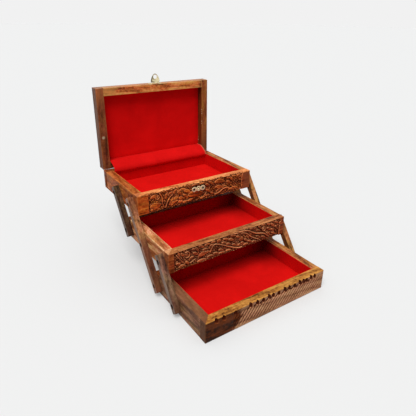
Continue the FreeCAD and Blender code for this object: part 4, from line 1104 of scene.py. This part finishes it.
def hingeStrip():
    half = strip["half"]
    bm = bmesh.new()
    row = [bm.verts.new((-half, y, z)) for y, z in flow(strip["line"], 5)]
    edges = [bm.edges.new(pair) for pair in zip(row, row[1:])]
    for _ in range(strip["columns"]):
        made = bmesh.ops.extrude_edge_only(bm, edges=edges)
        fresh = set(vertsOf(made))
        bmesh.ops.translate(bm, verts=list(fresh), vec=(2 * half / strip["columns"], 0, 0))
        edges = [g for g in made["geom"] if isinstance(g, bmesh.types.BMEdge) and set(g.verts) <= fresh]
    faceOutward(bm)
    hem = bm.verts.layers.float.new("hem")
    for vert in bm.verts:
        vert[hem] = strip["hemShare"] * max(0.0, 1 - (half - vert.co.x) / strip["hem"])
        ripple = noise.noise(Vector(c * scale for c, scale in zip(vert.co, strip["waveScale"])))
        vert.co += vert.normal * strip["wave"] * ripple
        low = max(0.0, 1 - (vert.co.z - strip["lowest"]) / strip["droopTall"])
        vert.co.z += strip["droop"] * low * noise.noise(Vector((vert.co.x * strip["droopScale"], 3.0, 0.0)))
    bmesh.ops.solidify(bm, geom=bm.faces[:], thickness=strip["thick"])
    faceOutward(bm)
    cloth = finishPiece("lid_hinge_velvet", bm, velvets["strip"], None, "velvet", 60, "lid_hinge_cloth")
    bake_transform(cloth, "top_tray", "lid", start=(0, 0.2250, 0.1325), end=(0, 0.2480, 0.1405))


for tray in trays:
    paddedFloor(tray)
    wallLining(tray)
lidLining()
hingeStrip()
print("velvet is laid")


# catch: its flap on the lid and its plate on the top tray

catch = {
    "step": 0.00025,  # distance between the points of a plate
    "round": 0.00028,
    "plate": 0.0006, "plateSpan": (-0.0121, 0.0121, -0.0044, 0.0044), "plateDark": 0.00015,
    "lobes": (-0.0077, 0.0, 0.0077), "lobe": 0.0043, "waist": 0.0027,
    "holes": ((-0.0080, 0.0018), (0.0, 0.0020), (0.0080, 0.0018)),
    "wire": 0.00055, "ring": 0.0022,
    "flap": 0.0009, "flapSpan": (-0.0081, 0.0081, 0.0, 0.0150), "flapDark": 0.0009,
    "flapHalf": 0.0080, "flapTall": 0.0150, "flapShoulder": 0.0014, "flapCorner": 0.0016,
    "flapHole": 0.0033, "flapHoleUp": 0.0100,
    "flapShadeWide": 0.0026, "flapShadeTurn": 0.006,  # painted shade along the flap's left and upper rim, in the tarnish colour
    "holeClean": 0.0004, "holeFade": 0.0008,
    "barrel": 0.0012, "bore": 0.0006, "barrelHalf": 0.0030, "tab": (-0.0002, 0.0040),
}


def thinPlate(sides, room, thick, darkReach):  # a plate in XZ that fills the places where room(x, z) > 0
    lowX, highX, lowZ, highZ = sides
    bm = bmesh.new()
    edge = bm.verts.layers.float.new("edge")
    across, up = round((highX - lowX) / catch["step"]), round((highZ - lowZ) / catch["step"])
    bmesh.ops.create_grid(bm, x_segments=across, y_segments=up, size=0.5)
    for vert in bm.verts:
        vert.co = (lowX + (vert.co.x + 0.5) * (highX - lowX), 0.0, lowZ + (vert.co.y + 0.5) * (highZ - lowZ))
    outside = [f for f in bm.faces if room(*f.calc_center_median().xz) < 0]
    bmesh.ops.delete(bm, geom=outside, context="FACES")
    bmesh.ops.delete(bm, geom=[v for v in bm.verts if not v.link_faces], context="VERTS")
    tiny = 1e-5
    for _ in range(3):  # the stepped border moves onto the true outline
        for vert in (v for v in bm.verts if v.is_boundary):
            x, z = vert.co.xz
            here = room(x, z)
            slope = Vector(((room(x + tiny, z) - here) / tiny, (room(x, z + tiny) - here) / tiny))
            if slope.length > 0.2:
                vert.co.x -= here * slope.x / slope.length_squared
                vert.co.z -= here * slope.y / slope.length_squared
    for vert in vertsOf(bmesh.ops.extrude_face_region(bm, geom=bm.faces[:])):
        inset = max(0.0, room(*vert.co.xz))
        near = max(0.0, 1 - inset / catch["round"])
        vert.co.y -= thick - catch["round"] * (1 - math.sqrt(max(0.0, 1 - near**2)))
        vert[edge] = 0.9 * max(0.0, 1 - inset / darkReach) ** 0.7
    faceOutward(bm)
    return bm


def keeperPlate():
    low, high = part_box("hasp_keeper")
    centre = Vector((0, high.y, (low.z + high.z) / 2))

    def room(x, z):
        inside = max(catch["lobe"] - math.hypot(x - at, z) for at in catch["lobes"])
        inside = max(inside, min(catch["waist"] - abs(z), catch["lobes"][-1] - abs(x)))
        return min([inside] + [math.hypot(x - at, z) - size for at, size in catch["holes"]])

    bm = thinPlate(catch["plateSpan"], room, catch["plate"], catch["plateDark"])
    bmesh.ops.translate(bm, verts=bm.verts, vec=((low.x + high.x) / 2, high.y, centre.z))
    ring = bmesh.ops.create_circle(bm, segments=12, radius=catch["wire"])["verts"]
    bmesh.ops.rotate(bm, verts=ring, cent=(0, 0, 0), matrix=Matrix.Rotation(math.pi / 2, 3, "X"))
    bmesh.ops.translate(bm, verts=ring, vec=(catch["ring"], high.y, centre.z))
    edges = list({e for v in ring for e in v.link_edges})
    bmesh.ops.spin(bm, geom=ring + edges, cent=centre, axis=(0, 0, 1), angle=-math.pi, steps=18,
                   dvec=(0, 0, 0), use_duplicate=False)
    bmesh.ops.holes_fill(bm, edges=openEdges(bm), sides=14)
    faceOutward(bm)
    finishPiece("hasp_keeper_plate", bm, brassPale, "top_tray", "brass", 50, "hasp_keeper")


def catchFlap():
    low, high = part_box("hasp_flap")
    barrel, bore, half = catch["barrel"], catch["bore"], catch["barrelHalf"]
    pin = Vector((0.0, low.y + barrel, low.z + barrel))

    def fromHole(x, z):
        return math.hypot(x, z - catch["flapHoleUp"]) - catch["flapHole"]

    def room(x, z):
        up = min(1.0, max(0.0, z / catch["flapTall"]))
        side = catch["flapHalf"] * (1 - up**2.1) ** 0.62 - abs(x)
        corner = max(0.0, 1 - (z - catch["flapShoulder"]) / catch["flapCorner"])
        arch = min(side - catch["flapCorner"] * corner**2, catch["flapTall"] - z, z - catch["flapShoulder"])
        tab = min(half - abs(x), z - catch["tab"][0], catch["tab"][1] - z)
        return min(max(arch, tab), fromHole(x, z))

    bm = thinPlate(catch["flapSpan"], room, catch["flap"], catch["flapDark"])
    edge = bm.verts.layers.float["edge"]
    for vert in bm.verts:
        x, z = vert.co.xz
        # painted shade: the flap's left and upper rim is darkened as its edge in shade, kept clear round the
        # hole
        rim = max(0.0, 1 - max(0.0, room(x, z)) / catch["flapShadeWide"]) ** 0.5
        side = min(1.0, max(0.0, (z / 2 - x) / catch["flapShadeTurn"]))
        clean = min(1.0, max(0.0, (fromHole(x, z) - catch["holeClean"]) / catch["holeFade"]))
        vert[edge] = max(0.3 * vert[edge], rim * side * clean)
    bmesh.ops.translate(bm, verts=bm.verts, vec=(0, high.y, pin.z))
    ends = [(-half, bore), (-half, barrel), (half, barrel), (half, bore)]
    row = [bm.verts.new((x, pin.y, pin.z + reach)) for x, reach in ends]
    edges = [bm.edges.new(pair) for pair in zip(row, row[1:] + row[:1])]
    bmesh.ops.spin(bm, geom=row + edges, cent=pin, axis=(1, 0, 0), angle=2 * math.pi, steps=24,
                   use_merge=True, dvec=(0, 0, 0), use_duplicate=False)
    faceOutward(bm)
    finishPiece("hasp_arched_flap", bm, brassPale, "hasp_flap", "brass", 50, "hasp_flap")


keeperPlate()
catchFlap()
print("catch is made")
